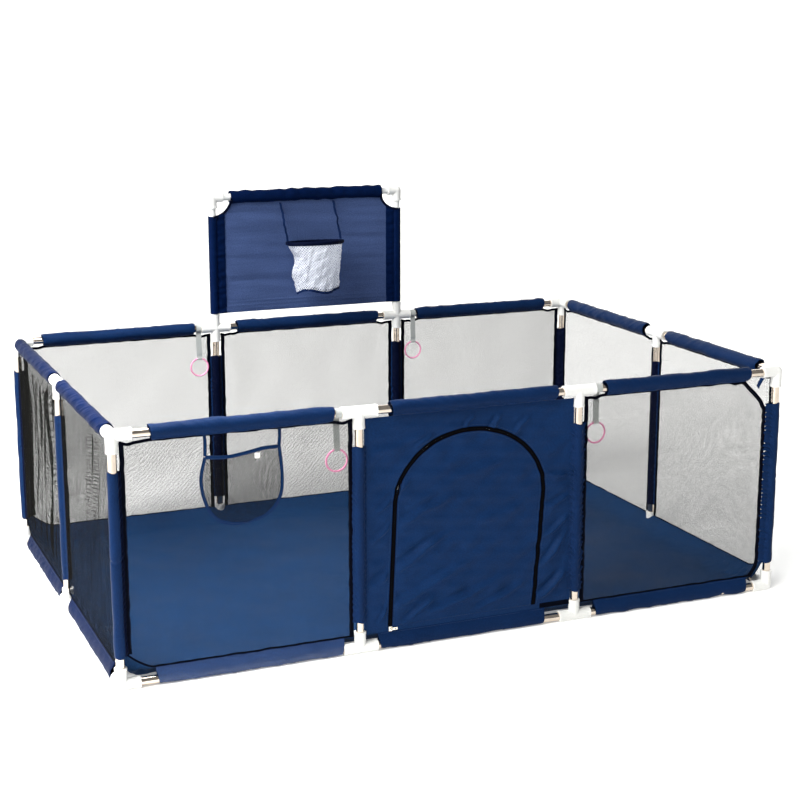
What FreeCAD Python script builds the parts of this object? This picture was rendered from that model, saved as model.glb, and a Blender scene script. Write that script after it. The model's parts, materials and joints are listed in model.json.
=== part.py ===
import FreeCAD, Part
import os
from math import acos, atan2, cos, pi, radians, sin, sqrt, tan

# Travel play yard. Steel tubes plug into white plastic connectors and make a pen three modules
# long and two wide. A sewn enclosure of navy cloth and mesh hangs on the tubes. The front middle
# panel holds a zip door, four pull-up rings hang inside, and a basketball board stands at the rear.
# Millimetres, +Z up, origin on the floor at the middle of the footprint, door towards -Y.

os.makedirs("parts", exist_ok=True)
Vector = FreeCAD.Vector
EAST, WEST = Vector(1, 0, 0), Vector(-1, 0, 0)
NORTH, SOUTH = Vector(0, 1, 0), Vector(0, -1, 0)
UP, DOWN = Vector(0, 0, 1), Vector(0, 0, -1)

# Driving dimensions of the frame
module = 625.0                 # junction to junction along every rail and post
modules_long = 3
modules_wide = 2
tube_d = 22.0
tube_wall = 0.7
connector_d = 30.0
hub_swell = 0.8                # the hub's ball is this much thicker than the arms
collar_d = 31.6                # thicker lip at the end of each connector arm
collar_length = 6.0
arm_reach = 47.0               # junction to the end of a level arm
post_arm_reach = 43.0          # junction to the end of an upright arm
socket_floor = 17.0            # junction to the bottom of a socket
socket_gap = 0.1               # all round a tube in its socket
tube_end_gap = 0.5
lock_hole_d = 4.0
lock_hole_at = 31.0            # junction to the centre of the lock hole
foot_height = 14.2             # floor to the axis of the bottom rails; undersides are flattened

# Driving dimensions of the enclosure
cloth = 1.6                    # thickness of the solids that stand for single sheets
rail_sleeve_r = 19.5
post_sleeve_r = 14.0
foot_sleeve_r = 12.5
sleeve_gap = 0.4               # tube to sleeve
seam_height = 48.0             # floor to the seam between wall and floor sheet
wall_edge = 17.0               # post axis to the bound edge of a wall
post_sleeve_drop = 90.0        # top rail axis to the top of a post sleeve
post_sleeve_rise = 69.0        # bottom rail axis to the bottom of a post sleeve
corner_cut = 78.0              # size of the slanted top corner of the front right mesh

# Distances from each junction to the end of a sleeve, for the two ends of each rail
front_top_margins = ((92, 70), (86, 70), (80, 94))
rear_top_margins = ((78, 72), (72, 72), (72, 78))
left_top_margins = ((50, 54), (54, 56))
right_top_margins = ((80, 70), (66, 70))
front_foot_margins = ((92, 49), (54, 96), (64, 74))
rear_foot_margins = ((80, 60), (60, 60), (60, 80))
side_foot_margins = ((66, 56), (56, 66))

# Driving dimensions of the door
door_hinge_height = 60.0
door_foot_x = (-229.0, 187.0)  # zip at the bottom, left and right
door_spring_x = (-215.0, 211.0)  # zip where the legs meet the arch
door_spring_height = 380.0
door_top_height = 565.0
zip_half_width = 6.0
zip_split = 0.25               # half of the slit between the two tapes
zip_thickness = 2.4
slider_size = (9.0, 2.4, 12.0)
pull_stand_off = 1.5           # slider face to the bar that the pull turns on
pull_bar_d = 1.2
pull_size = (17.0, 1.0, 6.5)
staple_half = 1.6              # pull's bar to the middle of each staple leg
staple_rise = 1.5              # pull's bar to the middle of the staple's top
staple_d = 1.2

# Driving dimensions of the pull-up rings
strap_at = 57.0                # junction to the middle of a strap
strap_width = 17.0
strap_thickness = 2.4
strap_stand_off = 7.5          # wall plane to the middle of the hanging strap
ring_drop = 94.0               # rail axis to the ring's own pivot
ring_d = 61.0
ring_wire_d = 5.0
ring_eye_width = 14.0
ring_eye_r = 3.8

# Driving dimensions of the basketball board
board_rise = 413.0             # top rail axis to the crossbar axis
elbow_reach = 33.0
board_corner_r = 57.0
board_foot = 46.0              # top rail axis to the lower edge of the cloth
hoop_width = 190.0
hoop_depth = 150.0
hoop_band = (8.0, 9.0)         # thickness and height of the covered rim
hoop_height = 900.0            # floor to the rim where it meets the board
hoop_tilt = 5.0                # degrees that the front of the rim stands up
net_length = 148.0
net_foot_share = 0.70          # size of the net's lower mouth against its upper one
net_wall = 1.4
tape_width = 7.0
tape_top = 1028.0
tape_top_x = 90.0

# Driving dimensions of the pocket
pocket_x = (-722.0, -518.0)
pocket_z = (390.0, 567.0)
pocket_corner_r = 55.0
pocket_depth = 9.0

half_length = module * modules_long / 2
half_width = module * modules_wide / 2
top_axis = foot_height + module
crossbar_axis = top_axis + board_rise
wall_top = top_axis - rail_sleeve_r
column_x = [-half_length + module * i for i in range(modules_long + 1)]
row_y = [-half_width + module * i for i in range(modules_wide + 1)]
corners = [(x, y) for x in (-half_length, half_length) for y in (-half_width, half_width)]
front_tees = [(x, -half_width) for x in column_x[1:-1]]
rear_tees = [(x, half_width) for x in column_x[1:-1]]
side_tees = [(x, 0.0) for x in (-half_length, half_length)]


def rod(start, direction, length, diameter):
    return Part.makeCylinder(diameter / 2, length, start, direction)


def box(low, high):
    size = [b - a for a, b in zip(low, high)]
    return Part.makeBox(size[0], size[1], size[2], Vector(*low))


def tube(start, end, outer_d, inner_d):
    along = end - start
    length = along.Length
    return rod(start, along, length, outer_d).cut(rod(start, along, length, inner_d))


def node(name, solids):
    """Write one sub-part: a single solid, or a group of separate solids."""
    solids = solids if isinstance(solids, list) else [solids]
    pieces = [s for shape in solids for s in shape.Solids]
    bad = [s for s in pieces if not s.isValid() or s.Volume <= 0]
    shape = pieces[0] if len(pieces) == 1 else Part.makeCompound(pieces)
    shape.exportStep("parts/" + name + ".step")
    print(name, len(pieces), "solids", round(shape.Volume / 1000, 2), "cm3", "BAD" if bad else "")


# ---------------------------------------------------------------- connectors and tubes

def connector(junction, arms, reach=arm_reach, post_reach=post_arm_reach, outer_d=connector_d):
    """A hub with a hollow, lipped arm along each direction in arms."""
    hub = Part.makeSphere((outer_d + hub_swell) / 2, junction)
    lip_d = outer_d + collar_d - connector_d
    sockets = []
    for arm in arms:
        length = post_reach if abs(arm.z) else reach
        hub = hub.fuse(rod(junction, arm, length, outer_d))
        lip = rod(junction + arm * (length - collar_length), arm, collar_length, lip_d)
        hub = hub.fuse(lip)
        depth = length - socket_floor + 1
        sockets.append(rod(junction + arm * socket_floor, arm, depth, tube_d + 2 * socket_gap))
    for socket in sockets:
        hub = hub.cut(socket)
    return hub.removeSplitter()


def with_lock_holes(hub, junction, arms, towards):
    """Drill the round hole near the end of each level arm, on the side of the upright arm."""
    for arm in arms:
        if abs(arm.z) < 0.5:
            hub = hub.cut(rod(junction + arm * lock_hole_at, towards, connector_d, lock_hole_d))
    return hub


def with_flat_foot(hub, junction):
    below = box((junction.x - module, junction.y - module, -module),
                (junction.x + module, junction.y + module, 0))
    return hub.cut(below)


def inward(x, y):
    """The level arms of the connector at (x, y), along the rails that meet there."""
    arms = []
    if abs(y) > module / 2:
        arms += [a for a in (EAST, WEST) if abs(x + a.x) < half_length]
    if abs(x) > half_length - 1:
        arms += [a for a in (NORTH, SOUTH) if abs(y + a.y) < half_width]
    return arms


def top_connector(x, y, more=()):
    junction = Vector(x, y, top_axis)
    arms = inward(x, y)
    hub = connector(junction, arms + [DOWN] + list(more))
    return with_lock_holes(hub, junction, arms, DOWN)


def bottom_connector(x, y):
    junction = Vector(x, y, foot_height)
    arms = inward(x, y)
    hub = connector(junction, arms + [UP])
    return with_flat_foot(with_lock_holes(hub, junction, arms, UP), junction)


def plugged_tube(start, end):
    """A tube between two junctions, with both ends in their sockets."""
    along = (end - start).normalize()
    inset = along * (socket_floor + tube_end_gap)
    return tube(start + inset, end - inset, tube_d, tube_d - 2 * tube_wall)


def rail_line(ends, height):
    return [Vector(x, y, height) for x, y in ends]


def long_rail_ends(y):
    return [((x, y), (x + module, y)) for x in column_x[:-1]]


def wide_rail_ends(x):
    return [((x, y), (x, y + module)) for y in row_y[:-1]]


def make_frame():
    node("corner_connectors_top", [top_connector(x, y) for x, y in corners])
    node("tee_connectors_top", [top_connector(x, y) for x, y in front_tees + side_tees])
    node("cross_connectors_rear", [top_connector(x, y, (UP,)) for x, y in rear_tees])
    node("corner_connectors_bottom", [bottom_connector(x, y) for x, y in corners])
    tees = front_tees + rear_tees + side_tees
    node("tee_connectors_bottom", [bottom_connector(x, y) for x, y in tees])
    sides = {"front": long_rail_ends(-half_width), "rear": long_rail_ends(half_width),
             "left": wide_rail_ends(-half_length), "right": wide_rail_ends(half_length)}
    for side, ends in sides.items():
        for level, height in (("top", top_axis), ("bottom", foot_height)):
            rails = [plugged_tube(*rail_line(pair, height)) for pair in ends]
            node(side + "_" + level + "_rails", rails)
    posts = {"corner": corners, "front": front_tees, "rear": rear_tees, "side": side_tees}
    for place, spots in posts.items():
        lines = [(Vector(x, y, foot_height), Vector(x, y, top_axis)) for x, y in spots]
        node(place + "_posts", [plugged_tube(*line) for line in lines])


# ---------------------------------------------------------------- sleeves, walls and floor

def sleeve_span(ends, height, margins):
    start, end = rail_line(ends, height)
    along = (end - start).normalize()
    return start + along * margins[0], end - along * margins[1]


def rail_sleeve(ends, margins):
    start, end = sleeve_span(ends, top_axis, margins)
    return tube(start, end, 2 * rail_sleeve_r, tube_d + 2 * sleeve_gap)


def foot_sleeve(ends, margins):
    """A loop round the bottom rail, drawn up to a seam in the plane of the wall."""
    start, end = sleeve_span(ends, foot_height, margins)
    along = (end - start).normalize()
    across = along.cross(UP)
    peak = seam_height - foot_height
    touch = acos(foot_sleeve_r / sqrt(peak ** 2 + (cloth / 2) ** 2)) - atan2(cloth / 2, peak)
    side = across * (foot_sleeve_r * sin(touch)) + UP * (foot_sleeve_r * cos(touch))
    other = across * (-foot_sleeve_r * sin(touch)) + UP * (foot_sleeve_r * cos(touch))
    tips = (across * (cloth / 2) + UP * peak, across * (-cloth / 2) + UP * peak)
    bottom = UP * -foot_sleeve_r
    edges = [Part.Arc(start + side, start + bottom, start + other).toShape()]
    corners_up = [start + other, start + tips[1], start + tips[0], start + side]
    edges += [Part.LineSegment(a, b).toShape() for a, b in zip(corners_up, corners_up[1:])]
    outline = Part.Face(Part.Wire(Part.__sortEdges__(edges)))
    body = outline.extrude(end - start)
    hole = rod(start - along, along, (end - start).Length + 2, tube_d + 2 * sleeve_gap)
    return body.cut(hole)


def post_sleeve(x, y):
    """A loop round a post with a fin to the bound edge of each wall beside it."""
    low = foot_height + post_sleeve_rise
    high = top_axis - post_sleeve_drop
    body = rod(Vector(x, y, low), UP, high - low, 2 * post_sleeve_r)
    for arm in inward(x, y):
        end = Vector(x, y, 0) + arm * wall_edge
        side = Vector(arm.y, arm.x, 0) * (cloth / 2)
        points = [Vector(x, y, 0) - side, Vector(x, y, 0) + side, end + side, end - side]
        low_corner = [min(p[i] for p in points) for i in (0, 1)]
        high_corner = [max(p[i] for p in points) for i in (0, 1)]
        body = body.fuse(box(low_corner + [low], high_corner + [high]))
    return body.cut(rod(Vector(x, y, low - 1), UP, high - low + 2, tube_d + 2 * sleeve_gap))


def wall(ends):
    """The upright sheet between two posts, from the floor seam to the top sleeves."""
    (x0, y0), (x1, y1) = ends
    if y0 == y1:
        return box((x0 + wall_edge, y0 - cloth / 2, seam_height),
                   (x1 - wall_edge, y0 + cloth / 2, wall_top))
    return box((x0 - cloth / 2, y0 + wall_edge, seam_height),
               (x0 + cloth / 2, y1 - wall_edge, wall_top))


def wall_with_cut_corner(ends):
    """A wall whose upper corner at the second post is drawn away on a slant."""
    (x0, y0), (x1, y1) = ends
    corner = Vector(x1 - wall_edge, y0 - cloth, wall_top)
    points = [corner, corner + WEST * corner_cut, corner + DOWN * corner_cut, corner]
    wedge = Part.Face(Part.makePolygon(points)).extrude(NORTH * 2 * cloth)
    return wall(ends).cut(wedge)


def tray_block(rise):
    """A solid that narrows from the wall seam to the flat floor, lifted by rise."""
    rim, flat = 2.0, 46.0
    wires = []
    for inset, height in ((flat, 2.4), (rim, seam_height - 1)):
        x, y, z = half_length - inset, half_width - inset, height + rise
        corners_round = [Vector(-x, -y, z), Vector(x, -y, z), Vector(x, y, z), Vector(-x, y, z)]
        wires.append(Part.makePolygon(corners_round + corners_round[:1]))
    return Part.makeLoft(wires, True, True)


def floor_sheet():
    sheet = tray_block(0).cut(tray_block(cloth))
    for x, y in corners + front_tees + rear_tees + side_tees:
        sheet = sheet.cut(rod(Vector(x, y, -1), UP, module / 4, 2 * wall_edge + 1))
    return sheet


def make_enclosure():
    front, rear = long_rail_ends(-half_width), long_rail_ends(half_width)
    left, right = wide_rail_ends(-half_length), wide_rail_ends(half_length)
    tops = {"front": (front, front_top_margins), "rear": (rear, rear_top_margins),
            "left": (left, left_top_margins), "right": (right, right_top_margins)}
    for side, (ends, margins) in tops.items():
        node(side + "_top_sleeves", [rail_sleeve(e, m) for e, m in zip(ends, margins)])
    feet = {"front": (front, front_foot_margins), "rear": (rear, rear_foot_margins),
            "left": (left, side_foot_margins), "right": (right, side_foot_margins)}
    for side, (ends, margins) in feet.items():
        node(side + "_bottom_sleeves", [foot_sleeve(e, m) for e, m in zip(ends, margins)])
    posts = {"corner": corners, "front": front_tees, "rear": rear_tees, "side": side_tees}
    for place, spots in posts.items():
        node(place + "_post_sleeves", [post_sleeve(x, y) for x, y in spots])
    node("front_left_mesh", wall(front[0]))
    node("front_right_mesh", wall_with_cut_corner(front[2]))
    node("rear_mesh", [wall(e) for e in rear])
    node("left_mesh", [wall(e) for e in left])
    node("right_mesh", [wall(e) for e in right])
    node("floor_sheet", floor_sheet())


# ---------------------------------------------------------------- zip door and pocket

def arch_block(grow, low, thickness):
    """The door's arched outline, grown by grow, as a block centred on the front wall."""
    y = -half_width - thickness / 2
    left, right = door_spring_x[0] - grow, door_spring_x[1] + grow
    middle = Vector((left + right) / 2, y, door_spring_height)
    crown = Vector(middle.x, y, door_top_height + grow)
    spring_left, spring_right = Vector(left, y, middle.z), Vector(right, y, middle.z)
    foot_left = Vector(door_foot_x[0] - grow, y, low)
    foot_right = Vector(door_foot_x[1] + grow, y, low)
    arch = Part.ArcOfEllipse(Part.Ellipse(spring_right, crown, middle), 0, pi)
    edges = [arch.toShape()]
    turns = [spring_left, foot_left, foot_right, spring_right]
    edges += [Part.LineSegment(a, b).toShape() for a, b in zip(turns, turns[1:])]
    outline = Part.Face(Part.Wire(Part.__sortEdges__(edges)))
    return outline.extrude(NORTH * thickness)


def zip_tape(outer_grow, inner_grow, low):
    return arch_block(outer_grow, low, zip_thickness).cut(arch_block(inner_grow, low, zip_thickness))


slider_face = -half_width - zip_thickness / 2 - sleeve_gap - slider_size[1]
pull_pivot = Vector(door_foot_x[0] + slider_size[0] / 2 - 2.5, slider_face - pull_stand_off,
                    door_hinge_height - slider_size[2] / 2 - 1)


def zip_slider():
    """The slider's front plate, with an arched staple over the pull's end bar."""
    width, depth, height = slider_size
    x, low = door_foot_x[0], pull_pivot.z - height / 2
    plate = box((x - width / 2, slider_face, low), (x + width / 2, slider_face + depth, low + height))
    plate = plate.makeFillet(0.8, [e for e in plate.Edges if abs(e.tangentAt(0).y) > 0.9])
    left, right = [pull_pivot + EAST * side * staple_half + SOUTH * staple_rise for side in (-1, 1)]
    staple = rod(left, EAST, 2 * staple_half, staple_d)
    for corner in (left, right):
        staple = staple.fuse(Part.makeSphere(staple_d / 2, corner))
        staple = staple.fuse(rod(corner, NORTH, staple_rise + pull_stand_off + depth / 2, staple_d))
    return plate.fuse(staple).removeSplitter()


def zip_pull():
    """A flat pull whose round end bar turns under the staple, lying to the right of the slider."""
    length, thickness, height = pull_size
    side_web, hole_reach, grip_d = 1.0, 3.1, 3.2
    x, y, z = pull_pivot
    tab = box((x, y - thickness / 2, z - height / 2), (x + length, y + thickness / 2, z + height / 2))
    tab = tab.makeFillet(1.2, [e for e in tab.Edges
                               if abs(e.tangentAt(0).y) > 0.9 and e.CenterOfMass.x > x + 1])
    hole = box((x - 1, y - height, z - height / 2 + side_web),
               (x + hole_reach, y + height, z + height / 2 - side_web))
    grip = rod(Vector(x + length - height, y + height, z), SOUTH, 2 * height, grip_d)
    end_bar = rod(pull_pivot + DOWN * height / 2, UP, height, pull_bar_d)
    return tab.cut(hole).cut(grip).fuse(end_bar).removeSplitter()


def door_panel():
    edge = column_x[2] - wall_edge
    sheet = box((-edge, -half_width - cloth / 2, seam_height),
                (edge, -half_width + cloth / 2, wall_top))
    return sheet.cut(arch_block(zip_half_width, door_hinge_height, 3 * cloth))


def pocket():
    """An open-topped pouch against the outside of the front left mesh."""
    def pouch(inset, front, back, top):
        low, high = Vector(pocket_x[0] + inset, 0, 0), Vector(pocket_x[1] - inset, 0, 0)
        block = box((low.x, -half_width - front, pocket_z[0] + inset),
                    (high.x, -half_width - back, pocket_z[1] + top))
        bottom_corners = [e for e in block.Edges
                          if abs(e.tangentAt(0).y) > 0.9 and e.CenterOfMass.z < pocket_z[0] + 5]
        return block.makeFillet(pocket_corner_r - inset, bottom_corners)
    wall_inset = 1.4
    outside = pouch(0, pocket_depth, cloth / 2, 0)
    return outside.cut(pouch(wall_inset, pocket_depth - wall_inset, 0, 5))


def make_door():
    node("door_panel", door_panel())
    flap_low = door_hinge_height + 2 * zip_split
    node("door_flap", arch_block(-zip_half_width, flap_low, cloth))
    node("zip_tape_panel", zip_tape(zip_half_width, zip_split, door_hinge_height))
    node("zip_tape_flap", zip_tape(-zip_split, -zip_half_width, flap_low))
    node("zip_slider", zip_slider())
    node("zip_pull", zip_pull())
    node("mesh_pocket", pocket())


# ---------------------------------------------------------------- pull-up rings

def grab_strap(x, y):
    """Webbing looped round the rail, hanging inside the wall and ending in an eye."""
    inside = -1 if y > 0 else 1
    hang_y = y + inside * strap_stand_off
    left = Vector(x - strap_width / 2, y, top_axis)
    loop_inner = tube_d / 2 + 0.6
    loop = tube(left, left + EAST * strap_width, 2 * (loop_inner + strap_thickness / 2), 2 * loop_inner)
    tail_top = top_axis - sqrt(loop_inner ** 2 - strap_stand_off ** 2)
    eye_middle = top_axis - ring_drop
    tail = box((x - strap_width / 2, hang_y - strap_thickness / 2, eye_middle + ring_eye_r),
               (x + strap_width / 2, hang_y + strap_thickness / 2, tail_top))
    tail = tail.cut(rod(left + WEST, EAST, strap_width + 2, 2 * loop_inner))
    eye_left = Vector(x - ring_eye_width / 2, hang_y, eye_middle)
    eye_d = 2 * ring_eye_r
    eye = rod(eye_left, EAST, ring_eye_width, eye_d + strap_thickness)
    strap = loop.fuse([tail, eye])
    return strap.cut(rod(eye_left + WEST * 5, EAST, ring_eye_width + 10, eye_d)).removeSplitter()


def grab_ring(x, y):
    inside = -1 if y > 0 else 1
    radius = (ring_d - ring_wire_d) / 2
    centre = Vector(x, y + inside * strap_stand_off, top_axis - ring_drop - radius)
    return Part.makeTorus(radius, ring_wire_d / 2, centre, NORTH)


def make_rings():
    offsets = {"left": -module / 2 - strap_at, "right": module / 2 + strap_at}
    for place, y in (("front", -half_width), ("rear", half_width)):
        for side, x in offsets.items():
            node("grab_strap_" + place + "_" + side, grab_strap(x, y))
            node("grab_ring_" + place + "_" + side, grab_ring(x, y))


# ---------------------------------------------------------------- basketball board

def elbow(x):
    arm = EAST if x < 0 else WEST
    return connector(Vector(x, half_width, crossbar_axis), [arm, DOWN], elbow_reach, elbow_reach)


def upright(x):
    low = top_axis + socket_floor + tube_end_gap
    high = crossbar_axis - socket_floor - tube_end_gap
    return tube(Vector(x, half_width, low), Vector(x, half_width, high), tube_d, tube_d - 2 * tube_wall)


def board_cloth():
    """A sheet with a sleeve round the crossbar and one round each upright."""
    post_x = module / 2
    low = top_axis + board_foot
    sheet = box((-post_x, half_width - cloth, low), (post_x, half_width, crossbar_axis))
    top_end = post_x - board_corner_r
    top_sleeve = rod(Vector(-top_end, half_width, crossbar_axis), EAST, 2 * top_end, 2 * rail_sleeve_r)
    sheet = sheet.fuse(top_sleeve)
    side_length = crossbar_axis - board_corner_r - low
    for x in (-post_x, post_x):
        sheet = sheet.cut(rod(Vector(x, half_width + module / 4, crossbar_axis), SOUTH,
                              module / 2, 2 * board_corner_r))
    for x in (-post_x, post_x):
        sheet = sheet.fuse(rod(Vector(x, half_width, low), UP, side_length, 2 * post_sleeve_r))
        sheet = sheet.cut(rod(Vector(x, half_width, low - 1), UP, module, tube_d + 2 * sleeve_gap))
    bar = rod(Vector(-module, half_width, crossbar_axis), EAST, 2 * module, tube_d + 2 * sleeve_gap)
    return sheet.cut(bar).removeSplitter()


board_face = half_width - cloth
hinge_gap = 1.5                # board cloth to the back of the rim
hoop_pivot = Vector(0, board_face - hinge_gap - hoop_band[0] / 2, hoop_height)


def oval_block(half_x, half_y, centre_y, low, high):
    """An upright oval block, as wide and deep as twice the halves."""
    middle = Vector(0, centre_y, low)
    oval = Part.Ellipse(middle + EAST * half_x, middle + NORTH * half_y, middle)
    return Part.Face(Part.Wire(oval.toShape())).extrude(UP * (high - low))


def oval_cone(share_top, share_foot, wall_inset, top, foot, centre_y):
    """The net's tapering body, between two ovals, drawn in by wall_inset."""
    wires = []
    for share, height in ((share_foot, foot), (share_top, top)):
        middle = Vector(0, centre_y, height)
        half_x = hoop_width / 2 * share - wall_inset
        half_y = hoop_depth / 2 * share - wall_inset
        oval = Part.Ellipse(middle + EAST * half_x, middle + NORTH * half_y, middle)
        wires.append(Part.Wire(oval.toShape()))
    return Part.makeLoft(wires, True)


def tilt_up(shape):
    """Raise the front of the rim about its back edge."""
    shape.rotate(hoop_pivot, WEST, hoop_tilt)
    return shape


def make_hoop():
    thick, tall = hoop_band
    half_x, half_y = hoop_width / 2, hoop_depth / 2
    centre_y = board_face - hinge_gap - half_y
    low, high = hoop_height - tall / 2, hoop_height + tall / 2
    rim = oval_block(half_x, half_y, centre_y, low, high)
    rim = rim.cut(oval_block(half_x - thick, half_y - thick, centre_y, low - 1, high + 1))
    rim = rim.makeFillet(3.0, rim.Edges)
    node("hoop_rim", tilt_up(rim))
    top_share = 1 - thick / hoop_width
    foot = low - net_length
    net = oval_cone(top_share, net_foot_share, 0, low, foot, centre_y)
    net = net.cut(oval_cone(top_share, net_foot_share, net_wall, low, foot, centre_y))
    node("hoop_net", tilt_up(net))
    return centre_y


def hoop_tapes(centre_y):
    """Two flat tapes from the board's top seam to the sides of the rim."""
    reach = hoop_pivot.y - centre_y
    side_z = hoop_height + reach * tan(radians(hoop_tilt)) + hoop_band[1] / 2 + 0.9
    tapes = []
    for side in (-1, 1):
        top = Vector(side * tape_top_x, board_face, tape_top)
        end = Vector(side * (hoop_width / 2 - hoop_band[0] / 2), centre_y + 4, side_z)
        across = EAST * (tape_width / 2)
        depth = SOUTH * net_wall
        points = [top - across, top + across, end + across, end - across, top - across]
        tapes.append(Part.makeLoft([Part.makePolygon(points),
                                    Part.makePolygon([p + depth for p in points])], True, True))
    return tapes


def make_board():
    post_x = module / 2
    node("board_uprights", [upright(-post_x), upright(post_x)])
    node("board_crossbar", plugged_tube(Vector(-post_x, half_width, crossbar_axis),
                                        Vector(post_x, half_width, crossbar_axis)))
    node("board_elbows", [elbow(-post_x), elbow(post_x)])
    node("board_cloth", board_cloth())
    node("hoop_tapes", hoop_tapes(make_hoop()))


make_frame()
make_enclosure()
make_door()
make_rings()
make_board()
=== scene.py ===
import json
from math import pi, radians

import bpy
import numpy as np
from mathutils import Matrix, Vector


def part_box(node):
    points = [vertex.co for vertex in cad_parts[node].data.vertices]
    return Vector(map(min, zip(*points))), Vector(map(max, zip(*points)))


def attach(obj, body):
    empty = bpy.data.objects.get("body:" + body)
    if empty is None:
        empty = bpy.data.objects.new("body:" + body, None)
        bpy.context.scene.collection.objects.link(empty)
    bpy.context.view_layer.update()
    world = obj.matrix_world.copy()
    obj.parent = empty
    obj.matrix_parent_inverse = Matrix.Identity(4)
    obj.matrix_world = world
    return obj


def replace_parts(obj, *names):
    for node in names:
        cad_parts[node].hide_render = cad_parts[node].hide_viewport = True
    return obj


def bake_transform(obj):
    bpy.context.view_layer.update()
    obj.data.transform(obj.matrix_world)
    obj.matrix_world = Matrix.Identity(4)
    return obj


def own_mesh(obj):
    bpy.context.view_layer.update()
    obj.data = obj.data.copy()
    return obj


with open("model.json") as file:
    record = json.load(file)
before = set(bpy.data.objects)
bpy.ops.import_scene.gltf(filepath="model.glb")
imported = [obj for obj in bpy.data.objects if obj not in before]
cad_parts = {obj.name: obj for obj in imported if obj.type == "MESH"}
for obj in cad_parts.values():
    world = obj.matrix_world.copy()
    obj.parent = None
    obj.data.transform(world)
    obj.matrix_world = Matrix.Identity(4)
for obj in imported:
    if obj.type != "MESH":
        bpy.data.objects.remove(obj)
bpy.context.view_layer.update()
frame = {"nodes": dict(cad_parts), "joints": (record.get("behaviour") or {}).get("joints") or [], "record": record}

# Travel play yard: cloth, mesh, zip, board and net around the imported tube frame. Metres.
# s runs along a wall, z is height, and out is measured from a wall's plane, away from the pen.


# ---------------------------------------------------------------- sizes read from the frame

def middle(node):
    low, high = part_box(node)
    return (low + high) / 2


posts_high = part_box("corner_posts")[1]
rails_low, rails_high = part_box("front_top_rails")
TUBE_R = (rails_high.z - rails_low.z) / 2
HALF_LENGTH = posts_high.x - TUBE_R
HALF_WIDTH = posts_high.y - TUBE_R
MODULE = 2 * HALF_LENGTH / 3
TOP_AXIS = middle("front_top_rails").z
FOOT_AXIS = middle("front_bottom_rails").z
BOARD_AXIS = middle("board_crossbar").z
WALL_LOW, WALL_HIGH = (corner.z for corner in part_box("rear_mesh"))
SLEEVE_LOW, SLEEVE_HIGH = (corner.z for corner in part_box("front_post_sleeves"))
COLUMNS = [-HALF_LENGTH + MODULE * i for i in range(4)]
ROWS = [-HALF_WIDTH, 0.0, HALF_WIDTH]
JOINTS = {joint["name"]: joint for joint in frame["joints"]}

# Cloth and trim
CLOTH = 0.0012                 # thickness
MESH_THICK = 0.0009
BINDING_THICK = 0.0026
TOP_BINDING = 0.008
POST_BINDING = 0.012
FOOT_BINDING = 0.005
POST_SLEEVE_R = 0.0138
WALL_EDGE = 0.017              # post axis to the edge of a wall
STITCH = (0.0022, 0.0007, 0.0005)  # length, width and height of one stitch
STITCH_PITCH = 0.0034

# Door
DOOR_FOOT = JOINTS["door_open"]["pos_m"][2]
DOOR_FOOT_X = (-0.229, 0.187)
DOOR_SPRING_X = (-0.215, 0.211)
DOOR_SPRING = 0.380
DOOR_TOP = 0.565
TAPE_WIDTH = 0.0062
SILL_REACH = 0.299             # half the width of the cloth below the door
SHADOW_PAINT_START = 0.205              # the sill is painted black from here rightwards: painted shadow of the gap at the door's lower right
FOLD_STRENGTH = 2.7


# ---------------------------------------------------------------- shape helpers

def unit(vectors):
    """The same directions with length 1."""
    return vectors / np.linalg.norm(vectors, axis=-1, keepdims=True)


def soft_noise(seed, size, *coords):
    """Smooth random relief of about -1 to 1, with bumps roughly size metres across."""
    chance = np.random.default_rng(seed)
    waves = 9
    total = 0.0
    for _ in range(waves):
        direction = chance.normal(size=len(coords))
        direction /= np.linalg.norm(direction)
        pitch = size * chance.uniform(0.8, 2.4)
        phase = chance.uniform(0, 2 * pi)
        along = sum(d * c for d, c in zip(direction, coords))
        total = total + np.sin(along * 2 * pi / pitch + phase)
    return total / waves ** 0.5


def fade(value, low, high):
    """0 below low, 1 above high, and smooth between them."""
    t = np.clip((value - low) / (high - low), 0, 1)
    return t * t * (3 - 2 * t)


def folds(x, z, ridges):
    """Relief of listed cloth folds: each is (x0, z0, x1, z1, width, height)."""
    relief = np.zeros(np.broadcast(x, z).shape)
    for x0, z0, x1, z1, width, height in ridges:
        length = np.hypot(x1 - x0, z1 - z0)
        along = ((x - x0) * (x1 - x0) + (z - z0) * (z1 - z0)) / length ** 2
        across = ((x - x0) * (z1 - z0) - (z - z0) * (x1 - x0)) / length
        across = across + 0.25 * width * np.sin(along * 7 + x0 * 40)
        dip = 0.5 * np.exp(-((across + 1.6 * width) / width) ** 2)
        profile = np.exp(-(across / width) ** 2) - dip
        relief += height * profile * fade(along, -0.15, 0.3) * (1 - fade(along, 0.65, 1.15))
    return relief


def curve_through(points, count):
    """A smooth line through given points."""
    p = np.array(points, float)
    p = np.vstack([2 * p[0] - p[1], p, 2 * p[-1] - p[-2]])
    spans = len(p) - 3
    t = np.linspace(0, spans, count)
    i = np.minimum(t.astype(int), spans - 1)
    t = (t - i)[:, None]
    a, b, c, d = p[i], p[i + 1], p[i + 2], p[i + 3]
    bend = (2 * a - 5 * b + 4 * c - d) * t ** 2 + (3 * b - a - 3 * c + d) * t ** 3
    return 0.5 * (2 * b + (c - a) * t + bend)


def evenly(path, spacing):
    """The same line with points spaced evenly."""
    path = np.asarray(path, float)
    run = np.concatenate([[0], np.cumsum(np.linalg.norm(np.diff(path, axis=0), axis=1))])
    count = max(2, int(round(run[-1] / spacing)) + 1)
    at = np.linspace(0, run[-1], count)
    return np.stack([np.interp(at, run, path[:, k]) for k in range(path.shape[1])], 1)


def spread(path, count):
    """count evenly spaced points along a line, without its last point."""
    fine = evenly(path, 0.0001)
    return fine[(np.arange(count) * (len(fine) - 1) / count).astype(int)]


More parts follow.
